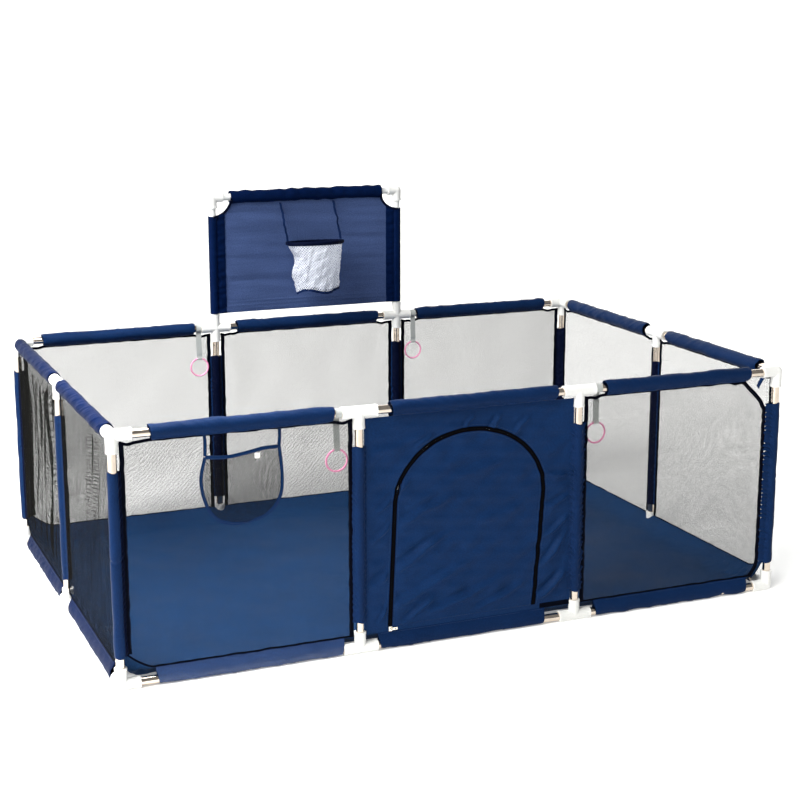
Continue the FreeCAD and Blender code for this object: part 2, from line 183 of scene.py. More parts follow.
def cell_faces(nu, nv, wrap_u, wrap_v):
    """The four corners of every cell in a grid of nu by nv points, which may close on itself."""
    u = np.arange(nu + wrap_u) % nu
    v = np.arange(nv + wrap_v) % nv
    index = u[:, None] * nv + v[None, :]
    cells = [index[:-1, :-1], index[1:, :-1], index[1:, 1:], index[:-1, 1:]]
    return np.stack(cells, -1).reshape(-1, 4)


def cloth_lengths(points):
    """Distances over the cloth for each grid point, for the weave's coordinates."""
    steps_u = np.linalg.norm(np.diff(points, axis=0), axis=2).mean(1)
    steps_v = np.linalg.norm(np.diff(points, axis=1), axis=2).mean(0)
    u = np.concatenate([[0], np.cumsum(steps_u)])
    v = np.concatenate([[0], np.cumsum(steps_v)])
    return np.stack(np.meshgrid(u, v, indexing="ij"), -1)


def build(name, vertices, faces, cloth_uv, sharp=50):
    """An object from points and faces, with the weave's coordinates as its UV map."""
    mesh = bpy.data.meshes.new(name)
    mesh.from_pydata(vertices.reshape(-1, 3).tolist(), [], [list(f) for f in faces])
    layer = mesh.uv_layers.new(name="cloth")
    corners = np.zeros(len(mesh.loops), np.int32)
    mesh.loops.foreach_get("vertex_index", corners)
    uv = cloth_uv.reshape(-1, 2)[corners]
    starts = np.zeros(len(mesh.polygons), np.int32)
    mesh.polygons.foreach_get("loop_start", starts)
    owner = np.repeat(np.arange(len(starts)), np.diff(np.append(starts, len(corners))))
    for k in range(2):
        extent = cloth_uv[..., k].max()
        highest = np.maximum.reduceat(uv[:, k], starts)[owner]
        uv[:, k] += extent * ((highest - uv[:, k]) > 0.6 * extent)
    layer.data.foreach_set("uv", uv.ravel())
    mesh.polygons.foreach_set("use_smooth", np.ones(len(mesh.polygons), bool))
    mesh.set_sharp_from_angle(angle=radians(sharp))
    mesh.update()
    thing = bpy.data.objects.new(name, mesh)
    bpy.context.scene.collection.objects.link(thing)
    return thing


def skin(name, points, wrap_v=False):
    """A single layer of cloth through a grid of points."""
    nu, nv = points.shape[:2]
    return build(name, points, cell_faces(nu, nv, False, wrap_v), cloth_lengths(points))


def normals_of(points, wrap_v):
    """The direction the cloth faces at each grid point."""
    if wrap_v:
        around = np.roll(points, -1, 1) - np.roll(points, 1, 1)
    else:
        around = np.gradient(points, axis=1)
    across = np.cross(np.gradient(points, axis=0), around)
    return across / np.maximum(np.linalg.norm(across, axis=2, keepdims=True), 1e-12)


def slab(name, points, thickness=CLOTH, wrap_v=False):
    """A closed sheet of even thickness through a grid of points."""
    nu, nv = points.shape[:2]
    offset = normals_of(points, wrap_v) * thickness / 2
    vertices = np.stack([points + offset, points - offset])
    front = cell_faces(nu, nv, False, wrap_v)
    back = front[:, ::-1] + nu * nv
    grid = np.arange(nu * nv).reshape(nu, nv)
    rims = [grid[0, :], grid[-1, ::-1]]
    if wrap_v:
        rims = [np.append(rim, rim[0]) for rim in rims]
    else:
        rims += [grid[::-1, 0], grid[:, -1]]
    faces = [front, back]
    for rim in rims:
        faces.append(np.stack([rim[1:], rim[:-1], rim[:-1] + nu * nv, rim[1:] + nu * nv], -1))
    uv = np.stack([cloth_lengths(points)] * 2)
    return build(name, vertices, np.concatenate(faces), uv)


def carried(path, sides, ups, section):
    """A grid of points: an outline of (side, up) offsets carried along path."""
    across, up = section[None, :, :1], section[None, :, 1:]
    return path[:, None] + sides[:, None] * across + ups[:, None] * up


def sweep(name, path, sides, ups, section, closed=False):
    """A solid strip with a closed outline as its section."""
    points = carried(path, sides, ups, section)
    nu, nv = points.shape[:2]
    faces = [list(f) for f in cell_faces(nu, nv, closed, True)]
    if not closed:
        faces += [list(range(nv))[::-1], [(nu - 1) * nv + k for k in range(nv)]]
    return build(name, points, faces, cloth_lengths(points))


def rounded(width, height, count=12, squareness=4):
    """A rounded rectangle as a closed outline."""
    angle = np.arange(count) * 2 * pi / count + pi / count
    c, s = np.cos(angle), np.sin(angle)
    power = 2 / squareness
    across = width / 2 * np.sign(c) * abs(c) ** power
    up = height / 2 * np.sign(s) * abs(s) ** power
    return np.stack([across, up], 1)


def tangents(path, closed=False):
    if closed:
        step = np.roll(path, -1, 0) - np.roll(path, 1, 0)
    else:
        step = np.gradient(path, axis=0)
    return unit(step)


def band(name, path, normal, width, thickness=BINDING_THICK):
    """A flat strip along path that faces the way normal points."""
    path = np.asarray(path, float)
    ups = np.broadcast_to(np.array(normal, float), path.shape)
    sides = unit(np.cross(tangents(path), ups))
    return sweep(name, path, sides, ups, rounded(width, thickness))


def blocks(name, centres, forwards, ups, size):
    """Many small rounded blocks as one piece: stitches or zip teeth."""
    sides = np.cross(forwards, ups)
    length, width, height = (value / 2 for value in size)
    corners = [(-1, -1, -1), (1, -1, -1), (1, 1, -1), (-1, 1, -1),
               (-0.7, -0.6, 1), (0.7, -0.6, 1), (0.7, 0.6, 1), (-0.7, 0.6, 1)]
    vertices = np.stack([centres + forwards * length * a + sides * width * b + ups * height * c
                         for a, b, c in corners], 1)
    cube = np.array([(0, 3, 2, 1), (4, 5, 6, 7), (0, 1, 5, 4),
                     (1, 2, 6, 5), (2, 3, 7, 6), (3, 0, 4, 7)])
    faces = (np.arange(len(centres))[:, None, None] * 8 + cube[None]).reshape(-1, 4)
    return build(name, vertices, faces, vertices[..., :2] * 0.98, sharp=35)


def stitch_row(name, path, normal, lift):
    """A row of stitches that stands lift above path, on the side normal points to."""
    path = evenly(path, STITCH_PITCH)
    forwards = tangents(path)
    ups = np.broadcast_to(np.array(normal, float), path.shape)
    return blocks(name, path + ups * lift, forwards, ups, STITCH)


def joined(name, things):
    """One piece from several."""
    with bpy.context.temp_override(active_object=things[0], selected_editable_objects=things):
        bpy.ops.object.join()
    things[0].name = name
    things[0].data.name = name
    return things[0]


# ---------------------------------------------------------------- materials

class Finish:
    """A material around one Principled shader, with short ways to add nodes."""

    def __init__(self, name, colour, **sockets):
        self.material = bpy.data.materials.new(name)
        self.material.use_nodes = True
        self.tree = self.material.node_tree
        self.shader = self.tree.nodes["Principled BSDF"]
        self.colour = (*colour, 1.0)
        self.shader.inputs["Base Color"].default_value = self.colour
        for socket, value in sockets.items():
            self.shader.inputs[socket.replace("_", " ")].default_value = value

    def node(self, kind, inputs=(), **settings):
        made = self.tree.nodes.new("ShaderNode" + kind)
        for key, value in settings.items():
            setattr(made, key, value)
        for key, value in dict(inputs).items():
            if isinstance(value, bpy.types.NodeSocket):
                self.tree.links.new(value, made.inputs[key])
            else:
                made.inputs[key].default_value = value
        return made

    def math(self, operation, first, second=0.0):
        return self.node("Math", {0: first, 1: second}, operation=operation).outputs[0]

    def total(self, *parts):
        """The sum of some values, each times its weight."""
        weighted = [self.math("MULTIPLY", value, weight) for value, weight in parts]
        result = weighted[0]
        for part in weighted[1:]:
            result = self.math("ADD", result, part)
        return result

    def span(self, value, low, high, start=0.0, end=1.0):
        """value's range from low to high, stretched to run from start to end."""
        inputs = {"Value": value, "From Min": low, "From Max": high, "To Min": start, "To Max": end}
        return self.node("MapRange", inputs).outputs["Result"]

    def cloth_uv(self):
        uv = self.node("UVMap", uv_map="cloth").outputs["UV"]
        split = self.node("SeparateXYZ", {0: uv})
        return uv, split.outputs[0], split.outputs[1]

    def noise(self, vector, scale, detail=3.0, roughness=0.55):
        inputs = {"Vector": vector, "Scale": scale, "Detail": detail, "Roughness": roughness}
        return self.node("TexNoise", inputs).outputs["Fac"]

    def place(self):
        return self.node("TexCoord").outputs["Object"]

    def shade(self, share):
        return tuple(min(1.0, c * share) for c in self.colour[:3]) + (1.0,)

    def tint(self, factor, darker, lighter):
        """Paint between two shades of the finish's own colour."""
        inputs = {"Factor": factor, "A": self.shade(darker), "B": self.shade(lighter)}
        self.set("Base Color", self.node("Mix", inputs, data_type="RGBA").outputs["Result"])

    def set(self, socket, value):
        self.tree.links.new(value, self.shader.inputs[socket])

    def bump(self, *layers):
        """Stack bumps: each layer is (height, distance in metres, strength)."""
        normal = None
        for height, distance, strength in layers:
            inputs = {"Height": height, "Distance": distance, "Strength": strength}
            if normal is not None:
                inputs["Normal"] = normal
            normal = self.node("Bump", inputs).outputs["Normal"]
        self.tree.links.new(normal, self.shader.inputs["Normal"])


def woven(name, colour, pitch=0.0011, gloss=0.48, sheen=0.01, crumple=0.0007, shine=0.05):
    """Coated oxford cloth: over-and-under threads, soft crumples and uneven dye."""
    finish = Finish(name, colour, Sheen_Weight=sheen, Sheen_Roughness=0.4, Specular_IOR_Level=shine)
    uv, u, v = finish.cloth_uv()
    across = finish.math("SINE", finish.math("MULTIPLY", u, pi / pitch))
    down = finish.math("SINE", finish.math("MULTIPLY", v, pi / pitch))
    threads = finish.math("MULTIPLY", across, down)
    slub = finish.noise(uv, 260.0, 2.0)
    cloud = finish.noise(finish.place(), 7.0, 4.0, 0.6)
    creases = finish.noise(finish.place(), 38.0, 5.0, 0.62)
    tone = finish.total((threads, 0.22), (slub, 0.8), (cloud, 0.55))
    finish.tint(finish.span(tone, 0.35, 1.05), 0.66, 1.32)
    finish.set("Roughness", finish.span(cloud, 0.3, 0.7, gloss - 0.06, gloss + 0.1))
    finish.bump((threads, 0.00022, 0.55), (slub, 0.0002, 0.4), (creases, crumple, 0.6))
    return finish.material


def netting(name, colour, pitch, thread, ground=0.0, drift=0.9):
    """Knitted net: diamond holes between crossing threads, with the threads' own twist."""
    finish = Finish(name, colour, Roughness=0.8, Specular_IOR_Level=0.0)
    uv, u, v = finish.cloth_uv()
    drift = finish.math("MULTIPLY", finish.noise(uv, 90.0, 1.0), pitch * drift)
    rising = finish.math("ADD", finish.math("ADD", u, v), drift)
    falling = finish.math("SUBTRACT", u, finish.math("SUBTRACT", v, drift))
    near_rising = finish.math("PINGPONG", rising, pitch / 2)
    near_falling = finish.math("PINGPONG", falling, pitch / 2)
    nearest = finish.math("MINIMUM", near_rising, near_falling)
    finish.set("Alpha", finish.span(nearest, thread * 0.35, thread * 0.65, 1.0, ground))
    twist = finish.noise(uv, 900.0, 2.0)
    finish.tint(twist, 0.75, 1.25)
    crest = finish.span(nearest, 0.0, thread * 0.6, 1.0, 0.0)
    finish.bump((crest, 0.0002, 0.6), (twist, 0.0001, 0.4))
    return finish.material


def webbing(name, colour, rib=0.0017, sheen=0.3, shine=0.35):
    """Narrow woven tape with cross ribs and a fine herringbone."""
    finish = Finish(name, colour, Sheen_Weight=sheen, Specular_IOR_Level=shine)
    _, u, v = finish.cloth_uv()
    ribs = finish.math("SINE", finish.math("MULTIPLY", u, 2 * pi / rib))
    slant = finish.math("ADD", finish.math("MULTIPLY", u, 0.6), v)
    twill = finish.math("SINE", finish.math("MULTIPLY", slant, 2 * pi / (rib * 0.8)))
    worn = finish.noise(finish.place(), 60.0, 4.0)
    tone = finish.total((twill, 0.25), (worn, 1.0))
    finish.tint(finish.span(tone, 0.2, 1.0), 0.8, 1.1)
    finish.set("Roughness", finish.span(worn, 0.3, 0.7, 0.6, 0.8))
    finish.bump((ribs, 0.0002, 0.7), (twill, 0.00012, 0.5))
    return finish.material


def moulded(name, colour, gloss, coat=0.0, flow=0.0, shine=0.4):
    """Injection-moulded plastic: faint orange peel, flow marks and handling scuffs."""
    finish = Finish(name, colour, Coat_Weight=coat, Coat_Roughness=0.12, Specular_IOR_Level=shine)
    place = finish.place()
    peel = finish.noise(place, 900.0, 2.0)
    cloud = finish.noise(place, 12.0, 3.0)
    scuff = finish.noise(place, 140.0, 6.0, 0.7)
    finish.tint(finish.span(cloud, 0.3, 0.7), 0.95 - flow, 1.03)
    finish.set("Roughness", finish.span(scuff, 0.35, 0.75, gloss, gloss + 0.16))
    finish.bump((peel, 0.00008, 0.35), (scuff, 0.00006, 0.3))
    return finish.material


def polished(name, colour, rough):
    """Drawn steel tube, polished: fine lines along it and faint smudges."""
    finish = Finish(name, colour, Metallic=1.0, Specular_IOR_Level=0.5)
    place = finish.place()
    lines = finish.noise(place, 1500.0, 2.0)
    smudge = finish.noise(place, 45.0, 4.0, 0.6)
    finish.tint(finish.span(smudge, 0.3, 0.7), 0.9, 1.06)
    finish.set("Roughness", finish.span(smudge, 0.3, 0.7, rough, rough + 0.1))
    finish.bump((lines, 0.00002, 0.25))
    return finish.material


MESH_BLACK = (0.010, 0.010, 0.009)
MESH_PITCH = 0.0036

# Colours are matched to how each part looks, so the one navy cloth of the real pen has several lighter and darker
# copies here, which are painted light and painted shade
materials = {
    "navy": woven("navy oxford", (0.0034, 0.0172, 0.0650), crumple=0.0014),
    # Painted light: a lighter, shinier copy of the navy for the first front bottom sleeve, whose top catches the
    # light
    "navy_lit": woven("navy lit oxford", (0.0080, 0.0300, 0.1050),
                      gloss=0.42, crumple=0.0016, shine=0.4),
    # Painted shade: a darker, duller copy of the navy for the board's sleeves and the left wall's rail sleeves
    "navy_board": woven("navy board oxford", (0.0012, 0.0075, 0.0400),
                        sheen=0.0, crumple=0.0014, shine=0.02),
    "navy_panel": woven("navy panel oxford", (0.0042, 0.0220, 0.0800), crumple=0.0034),
    "navy_floor": woven("navy floor oxford", (0.0070, 0.0300, 0.0880), gloss=0.6, crumple=0.0004),
    "navy_satin": woven("navy satin", (0.0500, 0.0810, 0.1960),
                        gloss=0.4, sheen=0.1, crumple=0.0005),
    # Dark navy trim, and also painted shade on the inner side of the post sleeves
    "navy_dark": woven("dark navy binding", (0.0012, 0.0030, 0.0150), sheen=0.0, shine=0.03),
    "black_binding": woven("black binding", (0.0012, 0.0018, 0.0055),
                           pitch=0.0009, gloss=0.7, sheen=0.0, shine=0.02),
    "black_mesh": netting("black mesh", MESH_BLACK, MESH_PITCH, thread=0.00052),
    "pocket_mesh": netting("pocket mesh", (0.008, 0.008, 0.008), MESH_PITCH, thread=0.00125),
    "white_net": netting("white net", (0.66, 0.69, 0.76),
                         pitch=0.0090, thread=0.0026, ground=0.10, drift=0.25),
    "white_plastic": moulded("white moulded plastic", (0.80, 0.80, 0.775), gloss=0.26),
    "white_tube": moulded("white powder coat", (0.80, 0.81, 0.80), gloss=0.34),
    # Painted reflection: the steel's warm brown tint stands in for brown surroundings reflected in the tubes
    "steel_tube": polished("polished steel", (0.66, 0.57, 0.48), rough=0.08),
    "zip_metal": polished("plated zinc", (0.86, 0.80, 0.68), rough=0.16),
    "zip_black": woven("zip tape", (0.0010, 0.0010, 0.0020),
                       pitch=0.0007, gloss=0.7, sheen=0.0, shine=0.02),
    "zip_teeth": moulded("zip teeth", (0.0012, 0.0012, 0.0018), gloss=0.6, shine=0.06),
    "grey_webbing": webbing("pale webbing", (0.45, 0.47, 0.455)),
    "navy_tape": webbing("navy tape", (0.0040, 0.0140, 0.0580), rib=0.0013, sheen=0.0, shine=0.05),
    "pink_plastic": moulded("pink plastic", (0.86, 0.30, 0.50), gloss=0.2, coat=0.4, flow=0.08),
    "thread": moulded("sewing thread", (0.0120, 0.0350, 0.1100), gloss=0.5),
    "dark_thread": moulded("dark sewing thread", (0.0040, 0.0050, 0.0100), gloss=0.5),
    "label": woven("blank care label", (0.75, 0.75, 0.73), pitch=0.0006, gloss=0.7, sheen=0.0),
}

# The one mesh looks denser on the walls that are seen at a slant or against the light
MESH_THREADS = {"front": 0.00030, "rear": 0.00080, "left": 0.00092, "right": 0.00042}
for side, thread in MESH_THREADS.items():
    materials["black_mesh_" + side] = netting(side + " wall mesh", MESH_BLACK, MESH_PITCH, thread)


def dress(thing, material, body="frame"):
    """Give a piece its material, and let it ride on a body."""
    thing.data.materials.clear()
    thing.data.materials.append(materials[material])
    if body:
        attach(thing, body)
    return thing


def paint_shade(cloth, material, picks):
    """Painted shade: give the faces whose centre picks() accepts a second, darker material."""
    cloth.data.materials.append(materials[material])
    for face in cloth.data.polygons:
        if picks(np.array(face.center)):
            face.material_index = 1


def dress_cad_nodes():
    """The tubes, connectors, rings and zip slider keep their CAD shape."""
    for entry in frame["record"]["subparts"]:
        name = entry["node"]
        slot = entry["material_slot"]
        thing = frame["nodes"][name]
        for holder in thing.material_slots:
            holder.material = materials.get(slot if slot in materials else "navy")


# ---------------------------------------------------------------- the pen's four sides

class Wall:
    """One side of the pen. point() turns distances along it, up and outward into places."""

    def __init__(self, name, along, outward, reach, posts):
        self.name = name
        self.along = np.array(along, float)
        self.outward = np.array(outward, float)
        self.reach = reach
        self.posts = posts

    def point(self, s, z, out):
        s, z, out = np.broadcast_arrays(np.asarray(s, float), z, out)
        up = np.array((0.0, 0.0, 1.0))
        return (s[..., None] * self.along + (self.reach + out)[..., None] * self.outward
                + z[..., None] * up)


FRONT = Wall("front", (1, 0, 0), (0, -1, 0), HALF_WIDTH, COLUMNS)
REAR = Wall("rear", (1, 0, 0), (0, 1, 0), HALF_WIDTH, COLUMNS)
LEFT = Wall("left", (0, 1, 0), (-1, 0, 0), HALF_LENGTH, ROWS)
RIGHT = Wall("right", (0, 1, 0), (1, 0, 0), HALF_LENGTH, ROWS)
WALLS = [FRONT, REAR, LEFT, RIGHT]


def stretches(node, wall):
    """The two ends of each of a node's solids, one solid between each pair of posts."""
    mesh = frame["nodes"][node].data
    places = np.array([v.co for v in mesh.vertices]) @ wall.along
    found = []
    for low, high in zip(wall.posts, wall.posts[1:]):
        inside = places[(places > low) & (places < high)]
        found.append((inside.min(), inside.max()))
    return found


def top_outline(angle):
    """Section of a top sleeve: round over the rail and drawn to a seam below."""
    below = np.clip(-np.cos(angle), 0, 1) ** 2
    return 0.0178 * np.sin(angle) * (1 - 0.30 * below), 0.0194 * np.cos(angle)


FOOT_SECTION = curve_through([
    (-0.001, 0.0338), (0.0065, 0.021), (0.0115, 0.009), (0.0122, -0.001), (0.0088, -0.0088),
    (0.0, -0.0121), (-0.0088, -0.0088), (-0.0118, 0.0), (-0.0090, 0.011), (-0.0045, 0.022),
    (-0.0025, 0.0336)], 49)[:-1]


def foot_outline(angle):
    """Section of a bottom sleeve: a flap that slants from the seam out over the rail."""
    turn = angle / (2 * pi) * len(FOOT_SECTION)
    count = np.arange(len(FOOT_SECTION) + 1)
    closed = np.vstack([FOOT_SECTION, FOOT_SECTION[:1]])
    return np.interp(turn, count, closed[:, 0]), np.interp(turn, count, closed[:, 1])


def rail_sleeve(name, wall, ends, level, outline, seed, pucker, cloth_name):
    """A loop of cloth round the wall's top or bottom rails, gathered a little at both ends."""
    axis_z = TOP_AXIS if level == "top" else FOOT_AXIS
    low, high = ends
    length = high - low
    s = np.linspace(0, 1, 150)[:, None]
    angle = np.linspace(0, 2 * pi, 48, endpoint=False)[None, :]
    out, up = outline(angle)
    near_end = np.minimum(s, 1 - s) * length
    sag = 0.0004 * np.sin(s * pi)
    relief = 0.0009 * soft_noise(seed, 0.05, s * length, out * 1.2, up * 1.2)
    gather = soft_noise(seed + 1, 0.012, near_end * 0.25, out, up)
    relief = relief + pucker * np.exp(-near_end / 0.030) * gather
    twist = soft_noise(seed + 2, 0.022, s * length + up * 1.6, out * 0.5)
    relief = relief + 0.0010 * np.clip(twist, 0, 1) ** 2
    size = np.hypot(out, up)
    swell = 1 + (relief - 0.0012 * np.exp(-near_end / 0.004)) / size
    lean = 0.003 * (up / 0.02) * (2 * s - 1) * np.exp(-near_end / 0.02)
    along = low + length * s + lean
    points = wall.point(along, axis_z + up * swell - sag, out * swell)
    cloth = slab(name, points, CLOTH, wrap_v=True)
    dress(cloth, cloth_name)
    return cloth


def sleeve_seam(name, wall, ends, z, out):
    """The row of stitches that closes a rail sleeve."""
    low, high = ends
    path = wall.point(np.linspace(low + 0.004, high - 0.004, 40), z, out)
    row = stitch_row(name, path, wall.outward, 0.0002)
    return dress(row, "thread")


# The sleeve's section, its first seed and its end puckers, then the seam's height and reach
RAIL_SLEEVES = {"top": (top_outline, 100, 0.0010, TOP_AXIS - 0.0162, 0.0090),
                "bottom": (foot_outline, 200, 0.0006, WALL_LOW - 0.0045, 0.0026)}


def make_rail_sleeves():
    for w, wall in enumerate(WALLS):
        for level, (outline, seed, pucker, seam_z, seam_out) in RAIL_SLEEVES.items():
            node = f"{wall.name}_{level}_sleeves"
            made = []
            for i, ends in enumerate(stretches(node, wall)):
                name = f"{wall.name}_{level}_sleeve_{i + 1}"
                # Painted shade: the left wall's sleeves take the darker copy of the navy
                cloth_name = "navy_board" if wall is LEFT else "navy"
                # Painted light: the first front bottom sleeve takes the lighter copy of the navy
                if name == "front_bottom_sleeve_1":
                    cloth_name = "navy_lit"
                made.append(rail_sleeve(name, wall, ends, level, outline, seed + 10 * w + i,
                                        pucker, cloth_name))
                sleeve_seam(name + "_stitches", wall, ends, seam_z, seam_out)
            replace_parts(made[0], node)


# Where each post sleeve is sewn to a wall: directions from the post, in degrees
POST_KINDS = {
    "corner_post_sleeves": [((x, y), (0 if x < 0 else 180, 90 if y < 0 else -90))
                            for x in (COLUMNS[0], COLUMNS[3]) for y in (ROWS[0], ROWS[2])],
    "front_post_sleeves": [((x, ROWS[0]), (0, 180)) for x in COLUMNS[1:3]],
    "rear_post_sleeves": [((x, ROWS[2]), (0, 180)) for x in COLUMNS[1:3]],
    "side_post_sleeves": [((x, 0.0), (90, -90)) for x in (COLUMNS[0], COLUMNS[3])],
}
FRONT_RIGHT = (COLUMNS[3], ROWS[0])
DOOR_RIGHT = (COLUMNS[2], ROWS[0])


WEB_REACH = 0.0200             # post axis to the seam with a wall
SLANT_REACH = 0.0305           # the same beside the slanted edge of the front right panel
PINCH_AT = 0.332               # height of the crease round the front posts


def paint_inner_shade(cloth, centre):
    """Painted shade: each post sleeve is navy, and the side that faces into the pen is painted dark."""
    at_end = abs(centre[0]) > COLUMNS[2] + 0.1 and centre != FRONT_RIGHT
    inward = unit(-np.array([centre[0] if at_end else 0.0, centre[1]]))
    paint_shade(cloth, "navy_dark", lambda place: (place[:2] - centre) @ inward > 0.25 * POST_SLEEVE_R)


def post_sleeve(name, centre, seams, seed, puckers):
    """A loop of cloth up a post, with a web towards each wall it is sewn to."""
    x, y = centre
    height = SLEEVE_HIGH - SLEEVE_LOW
    rows = 230
    t = np.linspace(0, 1, rows)[:, None]
    near_seam = np.concatenate([radians(seam) + np.linspace(-0.36, 0.36, 13) for seam in seams])
    angle = np.concatenate([np.linspace(0, 2 * pi, 44, endpoint=False), near_seam % (2 * pi)])
    angle = np.unique(np.round(angle, 3))[None, :]
    z = SLEEVE_LOW + height * t
    radius = np.full((rows, angle.size), POST_SLEEVE_R)
    for seam in seams:
        reach = SLANT_REACH if centre == FRONT_RIGHT and seam == 180 else WEB_REACH
        turn = np.angle(np.exp(1j * (angle - radians(seam))))
        radius = radius + (reach - POST_SLEEVE_R) * np.exp(-(abs(turn) / 0.17) ** 1.5)
        pull = soft_noise(seed + seam, 0.012, z + 0.012 * abs(turn)) * np.exp(-(turn / 0.85) ** 2)
        radius = radius + puckers * pull
    radius = radius + 0.0006 * soft_noise(seed, 0.05, z, np.cos(angle) * 0.03, np.sin(angle) * 0.03)
    creases = soft_noise(seed + 5, 0.13, z + 0.02 * np.cos(angle))
    radius = radius - 0.0016 * np.clip(creases - 0.65, 0, 1)
    pinch = np.exp(-((z - PINCH_AT - 0.006 * np.sin(angle)) / 0.004) ** 2)
    radius = radius - 0.0022 * pinch * (centre[1] == ROWS[0])
    ends = np.minimum(t, 1 - t) * height
    radius = radius - 0.0012 * np.exp(-ends / 0.003)
    radius = np.maximum(radius, TUBE_R + CLOTH + 0.0006)
    lift = 0.0018 * np.sin(angle * 2 + seed) * np.exp(-ends / 0.01)
    points = np.stack([x + radius * np.cos(angle), y + radius * np.sin(angle), z + lift], -1)
    cloth = slab(name, points, CLOTH, wrap_v=True)
    dress(cloth, "navy")
    paint_inner_shade(cloth, centre)
    return cloth


STRONG_PUCKERS = 0.0036         # on the two front posts where the cloth is pulled tight
WEAK_PUCKERS = 0.0008


def make_post_sleeves():
    for node, posts in POST_KINDS.items():
        made = []
        for i, (centre, seams) in enumerate(posts):
            seed = 300 + 20 * len(node) + i
            puckers = STRONG_PUCKERS if centre in (FRONT_RIGHT, DOOR_RIGHT) else WEAK_PUCKERS
            made.append(post_sleeve(f"{node[:-1]}_{i + 1}", centre, seams, seed, puckers))
        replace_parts(made[0], node)


# ---------------------------------------------------------------- mesh walls

# How far the bound edge beside the front right post stands off the post, at each height
SLANT = [(0.048, 0.052), (0.062, 0.040), (0.083, 0.031), (0.14, 0.0295), (0.50, 0.0295),
         (0.540, 0.034), (0.560, 0.045), (0.590, 0.074), (0.6232, 0.107)]


def slanted(z):
    """How far that edge is drawn in from the panel's usual end."""
    line = curve_through(SLANT, 200)
    return np.interp(z, line[:, 0], line[:, 1]) - WALL_EDGE


def straight(z):
    return 0.0 * z


# At the pen's corners the lower seam climbs this high, over this length
CORNER_RISE = 0.040
CORNER_REACH = 0.066


class Panel:
    """One stretch of mesh between two posts, with its own edges and creases."""

    def __init__(self, wall, index, name, seed, wrinkle=0.0016, upright=0.0, end=straight):
        self.wall = wall
        self.name = name
        self.low = wall.posts[index] + WALL_EDGE
        self.high = wall.posts[index + 1] - WALL_EDGE
        self.seed = seed
        self.wrinkle = wrinkle
        self.upright = upright
        self.end = end
        last = index == len(wall.posts) - 2 and end is straight
        self.corner_rise = (CORNER_RISE if index == 0 else 0.0, CORNER_RISE if last else 0.0)

    def relief(self, s, z):
        """How far the mesh stands outward: slack bellies and upright gathers."""
        inside = fade(s, self.low, self.low + 0.06) * (1 - fade(s, self.high - 0.06, self.high))
        inside = inside * fade(z, WALL_LOW, WALL_LOW + 0.08)
        inside = inside * (1 - fade(z, WALL_HIGH - 0.05, WALL_HIGH))
        soft = self.wrinkle * soft_noise(self.seed, 0.16, s, z)
        gathers = self.upright * soft_noise(self.seed + 1, 0.032, s + 0.15 * (z - 0.3), 0.10 * z)
        return (soft + gathers * (0.7 + 0.6 * z)) * inside

    def foot(self, s):
        """Height of the lower seam, which climbs at the pen's corners."""
        from_low = np.clip(1 - (s - self.low) / CORNER_REACH, 0, 1) ** 1.5
        from_high = np.clip(1 - (self.high - s) / CORNER_REACH, 0, 1) ** 1.5
        return WALL_LOW + self.corner_rise[0] * from_low + self.corner_rise[1] * from_high

    def head(self, s):
        """Height of the upper edge, which droops between each post and the rail sleeve."""
        reach = np.minimum(s - self.low, self.high - s)
        droop = 0.0045 * (1 - fade(reach, 0.035, 0.065)) * fade(reach, -0.01, 0.02)
        return WALL_HIGH - droop * (1 + 0.35 * np.sin(s * 150 + self.seed))

    def surface(self):
        v = np.linspace(0, 1, 100)[None, :]
        u = np.linspace(0, 1, 110)[:, None]
        s = self.low + (self.high - self.low) * u
        z = self.foot(s) + (self.head(s) - self.foot(s)) * v
        s = self.low + (self.high - self.end(z) - self.low) * u
        return self.wall.point(s, z, self.relief(s, z))


def make_panel(panel):
    """A mesh panel with bindings round its four edges and stitches down its two upright ones."""
    surface = panel.surface()
    mesh = slab(panel.name + "_panel", surface, MESH_THICK)
    wall = panel.wall
    dress(mesh, "black_mesh_" + wall.name)
    out, along = wall.outward, wall.along
    trims = []
    rows = []
    for side, edge, inward in (("start", surface[0], 1), ("end", surface[-1], -1)):
        path = edge + along * inward * (POST_BINDING / 2)
        path = path + along * (0.0007 * soft_noise(panel.seed + 7, 0.03, edge[:, 2]))[:, None]
        trims.append(band(f"{panel.name}_{side}_binding", path, out, POST_BINDING))
        row = path[3:-3] + along * inward * 0.0040
        rows.append(stitch_row(panel.name + "_stitch", row, out, BINDING_THICK / 2))
    edges = (("top", surface[:, -1], TOP_BINDING), ("foot", surface[:, 0], FOOT_BINDING))
    for side, edge, width in edges:
        path = evenly(edge, 0.004)
        path[:, 2] += 0.0006 * soft_noise(panel.seed + 9, 0.05, path @ along)
        trims.append(band(f"{panel.name}_{side}_binding", path, out, width))
    trim = joined(panel.name + "_binding", trims)
    dress(trim, "black_binding")
    stitches = joined(panel.name + "_binding_stitches", rows)
    dress(stitches, "dark_thread")
    return mesh


def make_corner_tab():
    """The short navy strap across the front end of the right wall's upper corner."""
    z = np.linspace(0.620, 0.578, 14)
    s = np.linspace(RIGHT.posts[0] + 0.046, RIGHT.posts[0] + 0.078, 14)
    out = -0.004 - 0.003 * np.sin(np.linspace(0, pi, 14))
    tab = band("right_corner_tab", RIGHT.point(s, z, out), (-1, 0, 0), 0.013)
    dress(tab, "navy")


def make_mesh_walls():
    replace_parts(make_panel(Panel(FRONT, 0, "front_left", 11)), "front_left_mesh")
    front_right = Panel(FRONT, 2, "front_right", 21, wrinkle=0.0022, end=slanted)
    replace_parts(make_panel(front_right), "front_right_mesh")
    for wall, seed, looks in ((REAR, 31, {}), (LEFT, 41, {"upright": 0.0050}),
                              (RIGHT, 51, {"wrinkle": 0.0022})):
        bays = range(len(wall.posts) - 1)
        made = [make_panel(Panel(wall, i, f"{wall.name}_{i + 1}", seed + i, **looks)) for i in bays]
        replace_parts(made[0], wall.name + "_mesh")
    make_corner_tab()


# ---------------------------------------------------------------- floor

